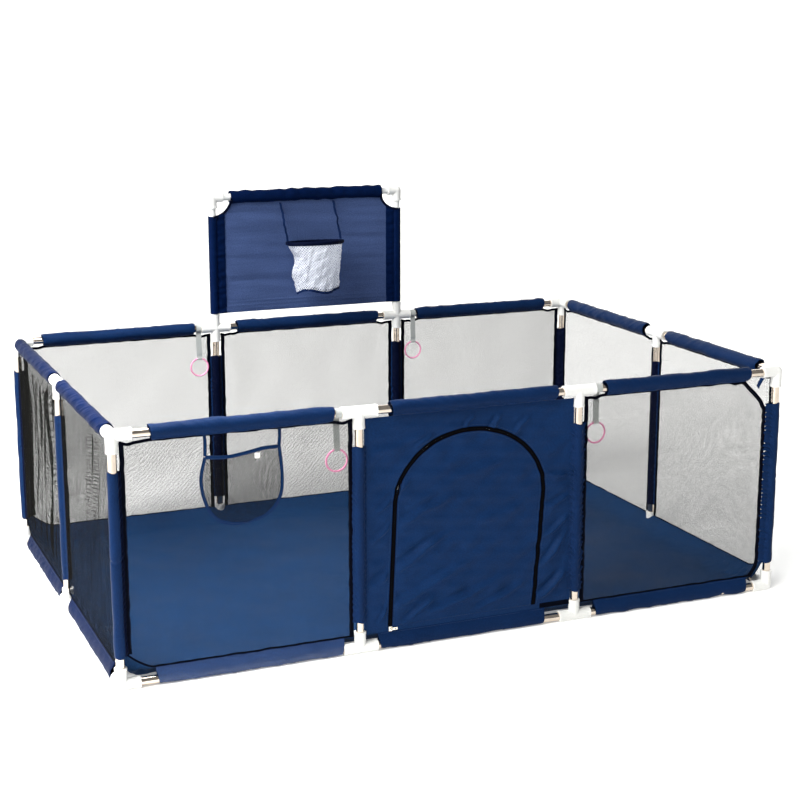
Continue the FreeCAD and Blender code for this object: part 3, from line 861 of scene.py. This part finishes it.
def make_floor():
    """The floor sheet lies flat and turns up to the seam at the foot of each wall."""
    reach_x, reach_y = HALF_LENGTH - 0.002, HALF_WIDTH - 0.002
    lines = []
    for reach, count in ((reach_x, 240), (reach_y, 170)):
        u = np.linspace(-1, 1, count)
        lines.append(reach * np.sign(u) * (1 - (1 - abs(u)) ** 1.35))
    x, y = np.meshgrid(*lines, indexing="ij")
    from_edge = np.minimum(reach_x - abs(x), reach_y - abs(y))
    rise = np.exp(-(from_edge / 0.032) ** 1.3)
    flat_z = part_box("floor_sheet")[0].z + 0.002
    waves = 0.0011 * soft_noise(61, 0.24, x, y) + 0.0007 * soft_noise(62, 0.09, x * 0.5, y)
    to_corner = np.hypot(reach_x - abs(x), reach_y - abs(y))
    corner = np.exp(-(to_corner / 0.09) ** 2)
    climb = np.clip(1 - (to_corner - WALL_EDGE) / CORNER_REACH, 0, 1) ** 1.5
    rim = WALL_LOW - 0.001 + CORNER_RISE * climb
    z = flat_z + (rim - flat_z) * rise + (waves + 0.0014) * fade(from_edge, 0.02, 0.10)
    tucks = soft_noise(63, 0.020, x, y) * fade(from_edge, 0.002, 0.02)
    tucks = tucks * (1 - fade(from_edge, 0.04, 0.09))
    z = z + np.clip(tucks, -0.6, 2) * (0.0007 + 0.0075 * corner)
    cloth = slab("floor_cloth", np.stack([x, y, z], -1), CLOTH)
    dress(cloth, "navy_floor")
    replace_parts(cloth, "floor_sheet")


# ---------------------------------------------------------------- door

DOOR_FOLDS = [
    (-0.285, 0.17, -0.10, 0.27, 0.010, 0.0030), (-0.245, 0.10, -0.02, 0.20, 0.011, 0.0034),
    (-0.225, 0.22, -0.05, 0.30, 0.008, 0.0024), (-0.21, 0.33, -0.06, 0.39, 0.010, 0.0026),
    (-0.28, 0.29, -0.20, 0.36, 0.006, 0.0022), (-0.275, 0.36, -0.17, 0.45, 0.007, 0.0022),
    (-0.14, 0.07, 0.09, 0.15, 0.010, 0.0028), (-0.19, 0.06, -0.10, 0.13, 0.007, 0.0026),
    (0.00, 0.06, 0.16, 0.13, 0.008, 0.0020), (-0.26, 0.07, -0.21, 0.16, 0.006, 0.0026),
    (-0.05, 0.44, 0.09, 0.47, 0.012, 0.0016), (0.02, 0.31, 0.16, 0.35, 0.013, 0.0016),
    (0.215, 0.17, 0.290, 0.26, 0.008, 0.0030), (0.22, 0.25, 0.292, 0.30, 0.006, 0.0026),
    (0.222, 0.33, 0.294, 0.355, 0.007, 0.0024), (0.225, 0.42, 0.294, 0.41, 0.006, 0.0020),
    (0.205, 0.075, 0.290, 0.15, 0.009, 0.0036), (0.05, 0.555, 0.085, 0.60, 0.006, 0.0024),
    (0.12, 0.54, 0.165, 0.585, 0.006, 0.0022), (-0.02, 0.57, 0.005, 0.605, 0.005, 0.0018),
    (-0.16, 0.53, -0.11, 0.56, 0.006, 0.0018), (-0.29, 0.52, -0.14, 0.56, 0.010, 0.0014),
]


def door_relief(x, z):
    """How far the door's cloth stands outward. It lies flat along the leg where the slider runs."""
    rim = fade(x, -0.297, -0.270) * (1 - fade(x, 0.272, 0.298))
    rim = rim * fade(z, DOOR_FOOT - 0.012, DOOR_FOOT + 0.03)
    rim = rim * (1 - fade(z, WALL_HIGH - 0.03, WALL_HIGH))
    belly = 0.0026 * np.cos(np.clip(x / 0.3, -1, 1) * pi / 2) * np.sin(np.clip(z / 0.62, 0, 1) * pi)
    small = 0.0017 * soft_noise(71, 0.045, x - 0.4 * z, z * 1.6)
    up_leg = np.clip((z - DOOR_FOOT) / (DOOR_SPRING - DOOR_FOOT), 0, 1)
    leg_x = DOOR_FOOT_X[0] + (DOOR_SPRING_X[0] - DOOR_FOOT_X[0]) * up_leg
    flat = np.exp(-((x - leg_x) / 0.017) ** 4)
    flat = flat * (1 - fade(z, DOOR_SPRING + 0.01, DOOR_SPRING + 0.06))
    return (FOLD_STRENGTH * folds(x, z, DOOR_FOLDS) + small + belly) * rim * (1 - flat)


def zip_line(grow=0.0):
    """The zip's path as (x, z): left leg, arch and right leg, moved outward by grow."""
    centre = (DOOR_SPRING_X[0] + DOOR_SPRING_X[1]) / 2
    half = (DOOR_SPRING_X[1] - DOOR_SPRING_X[0]) / 2 + grow
    rise = DOOR_TOP - DOOR_SPRING + grow
    angle = np.linspace(pi, 0, 240)
    arch = np.stack([centre + half * np.cos(angle), DOOR_SPRING + rise * np.sin(angle)], 1)
    left = np.array([[DOOR_FOOT_X[0] - grow, DOOR_FOOT]])
    right = np.array([[DOOR_FOOT_X[1] + grow, DOOR_FOOT]])
    return evenly(np.vstack([left, arch, right]), 0.004)


def door_point(x, z, lift=0.0):
    """A place on the door's folded cloth, or lift in front of it."""
    return FRONT.point(x, z, door_relief(x, z) + lift)


def on_door(line, lift):
    """Where a flat line of (x, z) lies on the door's cloth."""
    return door_point(line[:, 0], line[:, 1], lift)


def panel_edge(line):
    """Where a line from the arch's middle through each zip point meets the panel's edge."""
    reach = MODULE / 2 - 0.0135
    edge = np.empty_like(line)
    for i, (x, z) in enumerate(line):
        if z <= DOOR_SPRING:
            edge[i] = (np.sign(x) * reach, z)
        else:
            scale = min(reach / max(abs(x), 1e-9), (WALL_HIGH - DOOR_SPRING) / (z - DOOR_SPRING))
            edge[i] = (x * scale, DOOR_SPRING + (z - DOOR_SPRING) * scale)
    for side in (-1, 1):
        corner = np.array([side * reach, WALL_HIGH])
        edge[np.argmin(np.linalg.norm(edge - corner, axis=1))] = corner
    return edge


def make_door_panel():
    """The cloth round the arched opening, with the sill below it and its hem stitches."""
    line = zip_line(TAPE_WIDTH * 0.7)
    edge = panel_edge(line)
    share = np.linspace(0, 1, 46)[None, :, None]
    places = line[:, None] * (1 - share) + edge[:, None] * share
    x, z = places[..., 0], places[..., 1]
    cloth = slab("door_surround", door_point(x, z), CLOTH)
    dress(cloth, "navy_panel")
    x = np.linspace(-SILL_REACH, SILL_REACH, 150)
    x, z = np.meshgrid(x, np.linspace(WALL_LOW - 0.002, DOOR_FOOT, 6), indexing="ij")
    sill = slab("door_sill", door_point(x, z), CLOTH)
    dress(sill, "navy_panel")
    # Painted shadow: the sill's right end is painted black, standing in for the shaded gap at the door's lower
    # right
    paint_shade(sill, "black_binding", lambda place: place[0] > SHADOW_PAINT_START)
    hem = []
    for side in (-1, 1):
        at = np.linspace(WALL_LOW, WALL_HIGH, 90)
        across = side * (MODULE / 2 - 0.016) + 0.0005 * soft_noise(75, 0.02, at)
        hem.append(stitch_row("door_hem", door_point(across, at), FRONT.outward, CLOTH / 2))
    path = on_door(zip_line(TAPE_WIDTH + 0.004), 0.0)
    hem.append(stitch_row("door_hem", path, FRONT.outward, CLOTH / 2))
    hem = joined("door_surround_stitches", hem)
    dress(hem, "thread")
    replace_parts(cloth, "door_panel")


def arch_grid(shrink):
    """A grid that fills the door's outline, drawn in by shrink."""
    columns, legs, crown = 120, 80, 60
    centre = (DOOR_SPRING_X[0] + DOOR_SPRING_X[1]) / 2
    half = (DOOR_SPRING_X[1] - DOOR_SPRING_X[0]) / 2 - shrink
    rise = DOOR_TOP - DOOR_SPRING - shrink
    u = np.linspace(-1, 1, columns)[:, None]
    down = np.linspace(0, 1, legs, endpoint=False)[None, :]
    foot_centre = sum(DOOR_FOOT_X) / 2
    foot_half = (DOOR_FOOT_X[1] - DOOR_FOOT_X[0]) / 2 - shrink
    foot = DOOR_FOOT + 0.0006
    reach = foot_half + (half - foot_half) * down
    legs_x = foot_centre + (centre - foot_centre) * down + reach * u
    legs_z = foot + (DOOR_SPRING - foot) * down + 0 * u
    v = np.linspace(0, 1, crown)[None, :]
    crown_x = centre + half * u * np.sqrt(1 - v ** 2 / 2)
    crown_z = DOOR_SPRING + rise * v * np.sqrt(1 - u ** 2 / 2)
    return np.concatenate([legs_x, crown_x], 1), np.concatenate([legs_z, crown_z], 1)


def make_door_flap():
    x, z = arch_grid(TAPE_WIDTH * 0.7)
    cloth = slab("door_flap_cloth", door_point(x, z), CLOTH)
    dress(cloth, "navy_panel", body=None)
    path = on_door(zip_line(-TAPE_WIDTH - 0.004), 0.0)
    row = stitch_row("door_flap_stitches", path, FRONT.outward, CLOTH / 2)
    dress(row, "thread", body=None)
    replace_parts(cloth, "door_flap")
    return [cloth, row]


def zip_half(name, side):
    """One tape of the zip and its coil teeth; side is 1 outside the arch and -1 inside it."""
    lift = 0.0004
    teeth_lift = 2 * lift
    line = zip_line(side * (TAPE_WIDTH / 2 + 0.0001))
    tape = band(name + "_tape", on_door(line, lift), FRONT.outward, TAPE_WIDTH, 0.0012)
    line = zip_line(side * (TAPE_WIDTH - 0.0008))
    cord = band(name + "_cord", on_door(line, teeth_lift), FRONT.outward, 0.0014, 0.0014)
    tape = joined(name + "_tape", [tape, cord])
    teeth_line = evenly(zip_line(side * 0.0011), 0.0021)
    centres = on_door(teeth_line, teeth_lift)
    ups = np.broadcast_to(FRONT.outward, centres.shape)
    across = np.cross(tangents(centres), ups)
    teeth = blocks(name + "_teeth", centres, across, ups, (0.0027, 0.0017, 0.0011))
    return tape, teeth


def hinge_blend(thing):
    """Bake the piece's place into its mesh."""
    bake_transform(thing)


def make_door():
    make_door_panel()
    tape, teeth = zip_half("zip_panel", 1)
    dress(tape, "zip_black")
    dress(teeth, "zip_teeth")
    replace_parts(tape, "zip_tape_panel")
    moving = make_door_flap()
    tape, teeth = zip_half("zip_flap", -1)
    dress(tape, "zip_black", body=None)
    dress(teeth, "zip_teeth", body=None)
    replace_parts(tape, "zip_tape_flap")
    for thing in moving + [tape, teeth]:
        hinge_blend(thing)


# ---------------------------------------------------------------- pocket

# Outlines as (x, z), the hangers as (x at the top, x at the foot, z at the foot)
POCKET_RIM = [(-0.7115, 0.563), (-0.660, 0.5605), (-0.610, 0.5665), (-0.565, 0.5735),
              (-0.5245, 0.5725)]
POCKET_EDGE = [(-0.7120, 0.563), (-0.7235, 0.505), (-0.7120, 0.445), (-0.6850, 0.404),
               (-0.6400, 0.388), (-0.5900, 0.392), (-0.5480, 0.410), (-0.5220, 0.448),
               (-0.5170, 0.500), (-0.5235, 0.5725)]
POCKET_HANGERS = [(-0.7120, -0.7120, 0.566), (-0.5220, -0.5240, 0.5725)]
POCKET_TRIM = 0.0085           # width of the binding
POCKET_PUFF = 0.0085           # how far the pocket's mouth stands open
TRIM_OUT = 0.0022              # how far the binding stands off the wall


def make_pocket():
    """A mesh pouch outside the front left panel, bound in navy and hung on two tapes."""
    outline = curve_through(POCKET_EDGE, 121)
    rim = curve_through(POCKET_RIM, 61)
    half = len(outline) // 2
    left, right = outline[:half + 1], outline[::-1][:half + 1]
    t = np.linspace(0, 1, 60)[None, :, None]
    mesh = left[:, None] * (1 - t) + right[:, None] * t
    drop = (1 - np.linspace(0, 1, half + 1)) ** 3
    rim_even = np.vstack([spread(rim, 59), rim[-1:]])
    flat_top = left[0] * (1 - t[0]) + right[0] * t[0]
    mesh = mesh + drop[:, None, None] * (rim_even - flat_top)[None]
    x, z = mesh[..., 0], mesh[..., 1]
    depth = (1 - np.linspace(0, 1, half + 1)[:, None]) ** 0.8
    out = 0.0015 + POCKET_PUFF * np.sin(pi * np.linspace(0, 1, 60))[None, :] ** 0.6 * depth
    out = out + 0.0006 * soft_noise(81, 0.03, x, z)
    pouch = skin("pocket_pouch", FRONT.point(x, z, out))
    dress(pouch, "pocket_mesh")
    mouth = TRIM_OUT + POCKET_PUFF * np.sin(np.linspace(0, pi, 61)) ** 0.6
    edge_path = FRONT.point(outline[:, 0], outline[:, 1], TRIM_OUT)
    rim_path = FRONT.point(rim[:, 0], rim[:, 1], mouth)
    trims = [band("pocket_edge", edge_path, FRONT.outward, POCKET_TRIM, 0.003),
             band("pocket_rim", rim_path, FRONT.outward, 0.0095, 0.003)]
    for top_x, foot_x, foot_z in POCKET_HANGERS:
        halfway = ((top_x + foot_x) / 2 + 0.001, 0.595)
        line = curve_through([(top_x, WALL_HIGH - 0.002), halfway, (foot_x, foot_z)], 20)
        path = FRONT.point(line[:, 0], line[:, 1], TRIM_OUT)
        trims.append(band("pocket_hanger", path, FRONT.outward, POCKET_TRIM, 0.003))
    trim = joined("pocket_binding", trims)
    dress(trim, "navy")
    rows = [stitch_row("pocket_stitch", path, FRONT.outward, 0.0016)
            for path in (edge_path, FRONT.point(rim[:, 0], rim[:, 1] - 0.003, mouth))]
    row = joined("pocket_stitches", rows)
    dress(row, "thread")
    s, z = np.meshgrid(np.linspace(-0.5900, -0.5760, 8), np.linspace(0.5500, 0.5640, 8),
                       indexing="ij")
    label = slab("pocket_label", FRONT.point(s, z, 0.0125 + 0.0004 * np.sin(s * 300)), 0.0005)
    dress(label, "label")
    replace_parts(pouch, "mesh_pocket")


# ---------------------------------------------------------------- straps

def make_strap(place, side):
    """Webbing looped round the rail, hanging inside the wall and holding a ring in its eye."""
    body = f"strap_{place}_{side}"
    node = f"grab_strap_{place}_{side}"
    low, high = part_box(node)
    x = (low.x + high.x) / 2
    width = (high.x - low.x) * 0.97
    inward = 1 if place == "front" else -1
    rail_y = -inward * HALF_WIDTH
    ring = JOINTS[f"ring_swing_{place}_{side}"]["pos_m"]
    hang_y = ring[1]
    radius = TUBE_R + 0.0016
    turn = np.radians(np.linspace(-62, 242, 40))
    loop = np.stack([rail_y + inward * radius * np.cos(turn), TOP_AXIS + radius * np.sin(turn)], 1)
    eye_r = 0.0036
    swing = np.radians(np.linspace(200, -20, 22))
    eye = np.stack([hang_y - inward * eye_r * -np.cos(swing), ring[2] - eye_r * np.sin(swing)], 1)
    inner = [(hang_y + inward * 0.0010, TOP_AXIS - 0.030),
             (hang_y + inward * 0.0012, ring[2] + 0.012)]
    outer = [(hang_y - inward * 0.0010, ring[2] + 0.012),
             (hang_y - inward * 0.0012, TOP_AXIS - 0.032)]
    line = curve_through(np.vstack([loop[::6][::-1], inner, eye[::7][::-1], outer]), 110)
    path = np.stack([np.full(len(line), x), line[:, 0], line[:, 1]], 1)
    path[:, 0] += 0.0006 * np.sin(path[:, 2] * 60)
    steps = tangents(path)
    sides = np.broadcast_to(np.array((1.0, 0, 0)), path.shape)
    ups = np.cross(steps, sides)
    strap = sweep(node + "_webbing", path, sides, ups, rounded(width, 0.0012, 16, 6))
    dress(strap, "grey_webbing", body)
    rows = []
    for offset in (-0.0055, 0.0, 0.0055):
        across = np.linspace(-0.42, 0.42, 12) * width
        z = ring[2] + 0.0125 + 0.4 * offset
        points = np.stack([x + across, np.full(12, hang_y + inward * 0.0019), np.full(12, z)], 1)
        rows.append(stitch_row("strap_stitch", points, (0, inward, 0), 0.0))
    row = joined(node + "_stitches", rows)
    dress(row, "thread", body)
    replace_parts(strap, node)


# ---------------------------------------------------------------- board, hoop and net

def board_point(x, z, out):
    """A place on the board; out is towards the inside of the pen."""
    x, z, out = np.broadcast_arrays(np.asarray(x, float), z, out)
    return np.stack([x, board_plane - out, z], -1)


hoop_pivot = JOINTS["hoop_fold"]["pos_m"]
board_low, board_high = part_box("board_cloth")
board_plane = HALF_WIDTH - 0.0036
BOARD_CORNER_R = 0.057
BOARD_STRIP = 0.052
BOARD_HALF = board_high.x
UPRIGHT_X = MODULE / 2


def hand(side):
    return "left" if side < 0 else "right"


def board_half(z):
    """Half the board's width at height z, with the round bites at its two upper corners."""
    up = np.clip(BOARD_AXIS - z, 0, BOARD_CORNER_R)
    bite = UPRIGHT_X - np.sqrt(BOARD_CORNER_R ** 2 - up ** 2)
    return np.where(z > BOARD_AXIS - BOARD_CORNER_R, bite, BOARD_HALF - BOARD_STRIP + 0.01)


def make_board():
    """The board's face with its side sleeves, corner bindings, top sleeve and hem stitches."""
    low_z, high_z = board_low.z, BOARD_AXIS - 0.012
    z = np.linspace(low_z, high_z, 150)[None, :]
    u = np.linspace(-1, 1, 170)[:, None]
    half = np.minimum(board_half(z), BOARD_HALF - BOARD_STRIP + 0.01)
    x = u * half
    edge = 1 - abs(u) ** 6
    waves = 0.0013 * soft_noise(91, 0.032, x * 0.10, z)
    waves = waves + 0.0007 * soft_noise(92, 0.014, x * 0.08, z) * abs(u) ** 2
    hems = sum(0.0009 * np.exp(-((z - low_z - at) / 0.0022) ** 2) for at in (0.010, 0.022, 0.034))
    at_hoop = np.exp(-(x / 0.13) ** 2 - ((z - hoop_pivot[2]) / 0.05) ** 2)
    bow = 0.0048 * np.cos(u * pi / 2) * np.sin((z - low_z) / (high_z - low_z) * pi)
    out = waves * (0.55 + 0.45 * abs(u)) * edge * (1 - 0.85 * at_hoop) + hems - bow
    face = slab("board_face", board_point(x, z, out), CLOTH)
    dress(face, "navy_satin", "board")
    for side in (-1, 1):
        board_strip(side, low_z)
        board_bite(side)
    board_top_sleeve()
    lines = []
    for at in (0.006, 0.017, 0.029):
        s = np.linspace(-BOARD_HALF + 0.004, BOARD_HALF - 0.004, 60)
        path = board_point(s, low_z + at, 0.0012)
        lines.append(stitch_row("board_hem", path, (0, -1, 0), 0.0014))
    row = joined("board_stitches", lines)
    dress(row, "thread", "board")
    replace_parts(face, "board_cloth")


def strip_outline(count):
    """Section of a board sleeve: round over the upright, with a flat tail towards the middle."""
    wrap = np.radians(np.linspace(148, -148, 30))
    ring = np.stack([UPRIGHT_X + 0.0136 * np.cos(wrap), 0.0136 * np.sin(wrap)], 1)
    tail = BOARD_HALF - BOARD_STRIP
    root = UPRIGHT_X - 0.020
    seam = [(root, -0.0020), (tail, -0.0005), (tail, 0.0055), (root, 0.0082)]
    return spread(np.vstack([ring, seam, ring[:1]]), count)


def board_strip(side, low_z):
    """The sleeve that slides over one upright, sewn to the board's face along its inner edge."""
    rows, turns = 150, 70
    t = np.linspace(0, 1, rows)[:, None]
    outline = strip_outline(turns)
    across, bulge = outline[None, :, 0], outline[None, :, 1]
    reach = np.clip(UPRIGHT_X - across, 0, BOARD_CORNER_R)
    top = BOARD_AXIS - np.sqrt(BOARD_CORNER_R ** 2 - reach ** 2) - 0.001
    z = low_z + (top - low_z) * t
    gather = soft_noise(95 + side, 0.0105, z * 1.0, across * 0.2)
    swell = 0.0008 * gather * (0.35 + 0.65 * (1 - fade(across, UPRIGHT_X - 0.018, UPRIGHT_X)))
    y = HALF_WIDTH - bulge - swell * (bulge > 0.001)
    points = np.stack([side * across + 0 * z, y + 0 * z, z], -1)
    strip = slab("board_strip_" + hand(side), points[:, ::side], CLOTH, wrap_v=True)
    # Painted shade: the board's sleeves take the darker copy of the navy
    dress(strip, "navy_board", "board")
    return strip


def board_bite(side):
    """The dark binding round one of the board's cut-away upper corners."""
    angle = np.radians(np.linspace(180, 270, 40) if side > 0 else np.linspace(0, -90, 40))
    radius = BOARD_CORNER_R + 0.003
    x = side * UPRIGHT_X + radius * np.cos(angle)
    z = BOARD_AXIS + radius * np.sin(angle)
    lift = 0.002 + 0.010 * fade(z, BOARD_AXIS - 0.030, BOARD_AXIS - 0.005)
    lift = lift + 0.008 * fade(abs(x), 0.285, 0.312)
    trim = band("board_bite_" + hand(side), board_point(x, z, lift), (0, -1, 0), 0.008, 0.0034)
    dress(trim, "navy_dark", "board")
    return trim


def board_top_sleeve():
    """The gathered sleeve along the crossbar."""
    half = UPRIGHT_X - BOARD_CORNER_R
    s = np.linspace(0, 1, 190)[:, None]
    angle = np.linspace(0, 2 * pi, 52, endpoint=False)[None, :]
    x = -half + 2 * half * s
    out = 0.0172 * np.sin(angle)
    up = 0.0192 * np.cos(angle)
    near_end = np.minimum(s, 1 - s) * 2 * half
    relief = 0.0011 * soft_noise(97, 0.020, x + 0.5 * up, out * 0.6, up * 0.5)
    relief = relief + 0.0006 * soft_noise(98, 0.05, x, up)
    swell = 1 + (relief - 0.001 * np.exp(-near_end / 0.003)) / 0.018
    points = np.stack([x + 0 * up, HALF_WIDTH - out * swell, BOARD_AXIS + up * swell], -1)
    sleeve = slab("board_top_sleeve", points, CLOTH, wrap_v=True)
    # Painted shade: the board's top sleeve takes the darker copy of the navy
    dress(sleeve, "navy_board", "board")
    return sleeve


def rim_line(count, drop=0.0, share=1.0):
    """Points round the hoop, drop below it along its axis and scaled by share."""
    low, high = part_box("hoop_rim")
    half_x = (high.x - low.x) / 2 - 0.004
    half_y = (high.y - low.y) / 2 - 0.004
    centre = np.array(((low.x + high.x) / 2, (low.y + high.y) / 2, (low.z + high.z) / 2))
    tilt = np.arctan2(high.z - low.z - 0.009, high.y - low.y)
    angle = np.linspace(0, 2 * pi, count, endpoint=False)
    forward = np.array((0, -np.cos(tilt), np.sin(tilt)))
    axis = np.array((0, np.sin(tilt), np.cos(tilt)))
    ring = (centre + np.cos(angle)[:, None] * np.array((half_x, 0, 0)) * share
            + np.sin(angle)[:, None] * forward * half_y * share)
    return ring - axis * drop, axis, angle


def make_hoop():
    """The gathered cloth over the rim. Returns the hoop's axis."""
    count = 150
    path, axis, angle = rim_line(count)
    ups = np.broadcast_to(axis, path.shape)
    sides = unit(np.cross(tangents(path, True), ups))
    points = carried(path, sides, ups, rounded(0.0085, 0.0100, 16, 2.6))
    gather = 1 + 0.07 * soft_noise(101, 0.10, angle * 0.8)[:, None, None]
    points = path[:, None] + (points - path[:, None]) * gather
    faces = [list(f) for f in cell_faces(count, 16, True, True)]
    rim = build("hoop_rim_cover", points, faces, cloth_lengths(points))
    dress(rim, "navy_dark", "hoop")
    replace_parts(rim, "hoop_rim")
    return axis


def make_net():
    """A soft net that hangs from the hoop, drawn in below and crumpled on its left."""
    rows, count = 90, 160
    length = 0.150
    points = []
    for t in np.linspace(0, 1, rows):
        share = 0.985 - 0.29 * t ** 0.8
        ring, _, angle = rim_line(count, 0.003 + length * t, share)
        left = np.exp(-(np.angle(np.exp(1j * (angle - pi))) / 0.55) ** 2)
        dent = 0.020 * np.exp(-((t - 0.30) / 0.16) ** 2) - 0.008 * np.exp(-((t - 0.62) / 0.14) ** 2)
        right = np.exp(-(np.angle(np.exp(1j * angle)) / 0.5) ** 2)
        ring[:, 0] += left * dent + right * 0.010 * t
        pleat = 0.0022 * t * soft_noise(111, 0.30, angle, t * 0.6)
        pleat = pleat + 0.0012 * soft_noise(112, 0.11, angle, t)
        away = unit(ring - ring.mean(0))
        ring = ring + away * pleat[:, None] * fade(np.array(t), 0.0, 0.15)
        ring[:, 2] += 0.006 * t ** 3 * np.sin(angle * 3 + 0.8)
        points.append(ring)
    points = np.array(points)
    net = skin("hoop_net_mesh", points, wrap_v=True)
    dress(net, "white_net", "hoop")
    hems = []
    for name, row, width in (("net_top", 1, 0.006), ("net_foot", rows - 1, 0.008)):
        path = points[row]
        away = unit((path - path.mean(0)) * (1, 1, 0))
        sides = unit(np.cross(tangents(path, True), away))
        hems.append(sweep(name, path, sides, away, rounded(width, 0.0022), closed=True))
    hem = joined("hoop_net_bands", hems)
    dress(hem, "navy_tape", "hoop")
    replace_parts(net, "hoop_net")
    for thing in (net, hem):
        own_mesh(thing)


def make_tapes():
    """Two narrow tapes that hold the front of the hoop up from the board's top hem."""
    low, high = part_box("hoop_tapes")
    made = []
    for side in (-1, 1):
        top = np.array((side * 0.090, board_plane - 0.002, high.z))
        foot = np.array((side * (high.x - 0.005), low.y + 0.003, low.z + 0.001))
        t = np.linspace(0, 1, 60)[:, None]
        path = top * (1 - t) + foot * t
        waver = 0.0016 * np.sin(t[:, 0] * (13 + 3 * side) + side) + 0.0008 * np.sin(t[:, 0] * 31)
        path[:, 0] += waver * np.sin(pi * t[:, 0])
        path[:, 1] -= 0.0025 * np.sin(pi * t[:, 0]) * (1 - 0.6 * np.sin(pi * t[:, 0] * 3))
        steps = tangents(path)
        sides = np.broadcast_to(np.array((1.0, 0.0, 0.0)), path.shape)
        twist = 0.5 * np.sin(t * 7 + side) * np.sin(pi * t)
        ups = unit(np.cross(steps, sides))
        turned = sides * np.cos(twist) + ups * np.sin(twist)
        ups = np.cross(steps, turned)
        made.append(sweep("tape", path, turned, ups, rounded(0.0072, 0.0011, 12, 5)))
    tapes = joined("hoop_hanging_tapes", made)
    dress(tapes, "navy_tape", body=None)
    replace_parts(tapes, "hoop_tapes")
    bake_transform(tapes)


# ---------------------------------------------------------------- light, floor and camera

def stage_card(name, place, target, size, colour, glow):
    """A flat card for the studio, facing target."""
    bpy.ops.mesh.primitive_plane_add(size=1, location=place)
    card = bpy.context.active_object
    card.name = name
    card.scale = (*size, 1)
    facing = Vector(target) - Vector(place)
    card.rotation_euler = facing.to_track_quat("Z", "Y").to_euler()
    finish = Finish(name, colour, Roughness=0.8, Specular_IOR_Level=0.1, Emission_Strength=glow)
    finish.shader.inputs["Emission Color"].default_value = finish.colour
    card.data.materials.append(finish.material)


def lamp(name, kind, place, target, **settings):
    """A light at place that shines towards target."""
    light = bpy.data.lights.new(name, kind)
    for key, value in settings.items():
        setattr(light, key, value)
    holder = bpy.data.objects.new(name, light)
    bpy.context.scene.collection.objects.link(holder)
    holder.location = place
    facing = Vector(place) - Vector(target)
    holder.rotation_euler = facing.to_track_quat("Z", "Y").to_euler()


def make_stage():
    """Floor, backdrop, two cards for reflections, and three lamps, one over the left bay."""
    stage_card("studio_floor", (0, 0, 0), (0, 0, 1), (80, 80), (0.90, 0.90, 0.89), 0.32)
    stage_card("backdrop", (4, 16, 6), (0, 0, 3), (60, 18), (0.95, 0.95, 0.95), 1.1)
    stage_card("brown_card", (-5.5, 1.2, 0.9), (0, 0, 0.6), (2.2, 3.0), (0.16, 0.055, 0.028), 0.5)
    stage_card("dark_card", (5.2, 0.2, 1.2), (0, 0, 0.6), (3.4, 3.0), (0.02, 0.018, 0.016), 0.0)
    world = bpy.data.worlds.new("studio")
    bpy.context.scene.world = world
    world.use_nodes = True
    sky = world.node_tree.nodes["Background"]
    sky.inputs["Color"].default_value = (0.96, 0.98, 1.0, 1.0)
    sky.inputs["Strength"].default_value = 0.28
    lamp("sun", "SUN", (-0.62, -0.42, 0.72), (0, 0, 0), energy=2.3, angle=radians(22),
         color=(1.0, 0.99, 0.96))
    lamp("softbox", "AREA", (-4.4, -0.6, 3.0), (-0.6, 0, 0.2), size=2.6, energy=300)
    lamp("overhead", "AREA", (-0.80, -0.22, 1.95), (-0.80, -0.22, 0), size=0.9, energy=21,
         spread=radians(80))


def make_camera():
    data = bpy.data.cameras.new("camera")
    data.lens = 73.13
    data.sensor_width = 36
    camera = bpy.data.objects.new("camera", data)
    bpy.context.scene.collection.objects.link(camera)
    camera.location = (-1.7490, -4.2991, 1.5791)
    camera.rotation_euler = (radians(90 - 12.997), 0, radians(-22.851))
    bpy.context.scene.camera = camera
    bpy.context.scene.view_settings.view_transform = "Standard"
    bpy.context.scene.cycles.transparent_max_bounces = 24


dress_cad_nodes()
make_rail_sleeves()
make_post_sleeves()
make_mesh_walls()
make_floor()
make_door()
make_pocket()
for place in ("front", "rear"):
    for side in ("left", "right"):
        make_strap(place, side)
make_board()
hoop_axis = make_hoop()
make_net()
make_tapes()
make_stage()
make_camera()
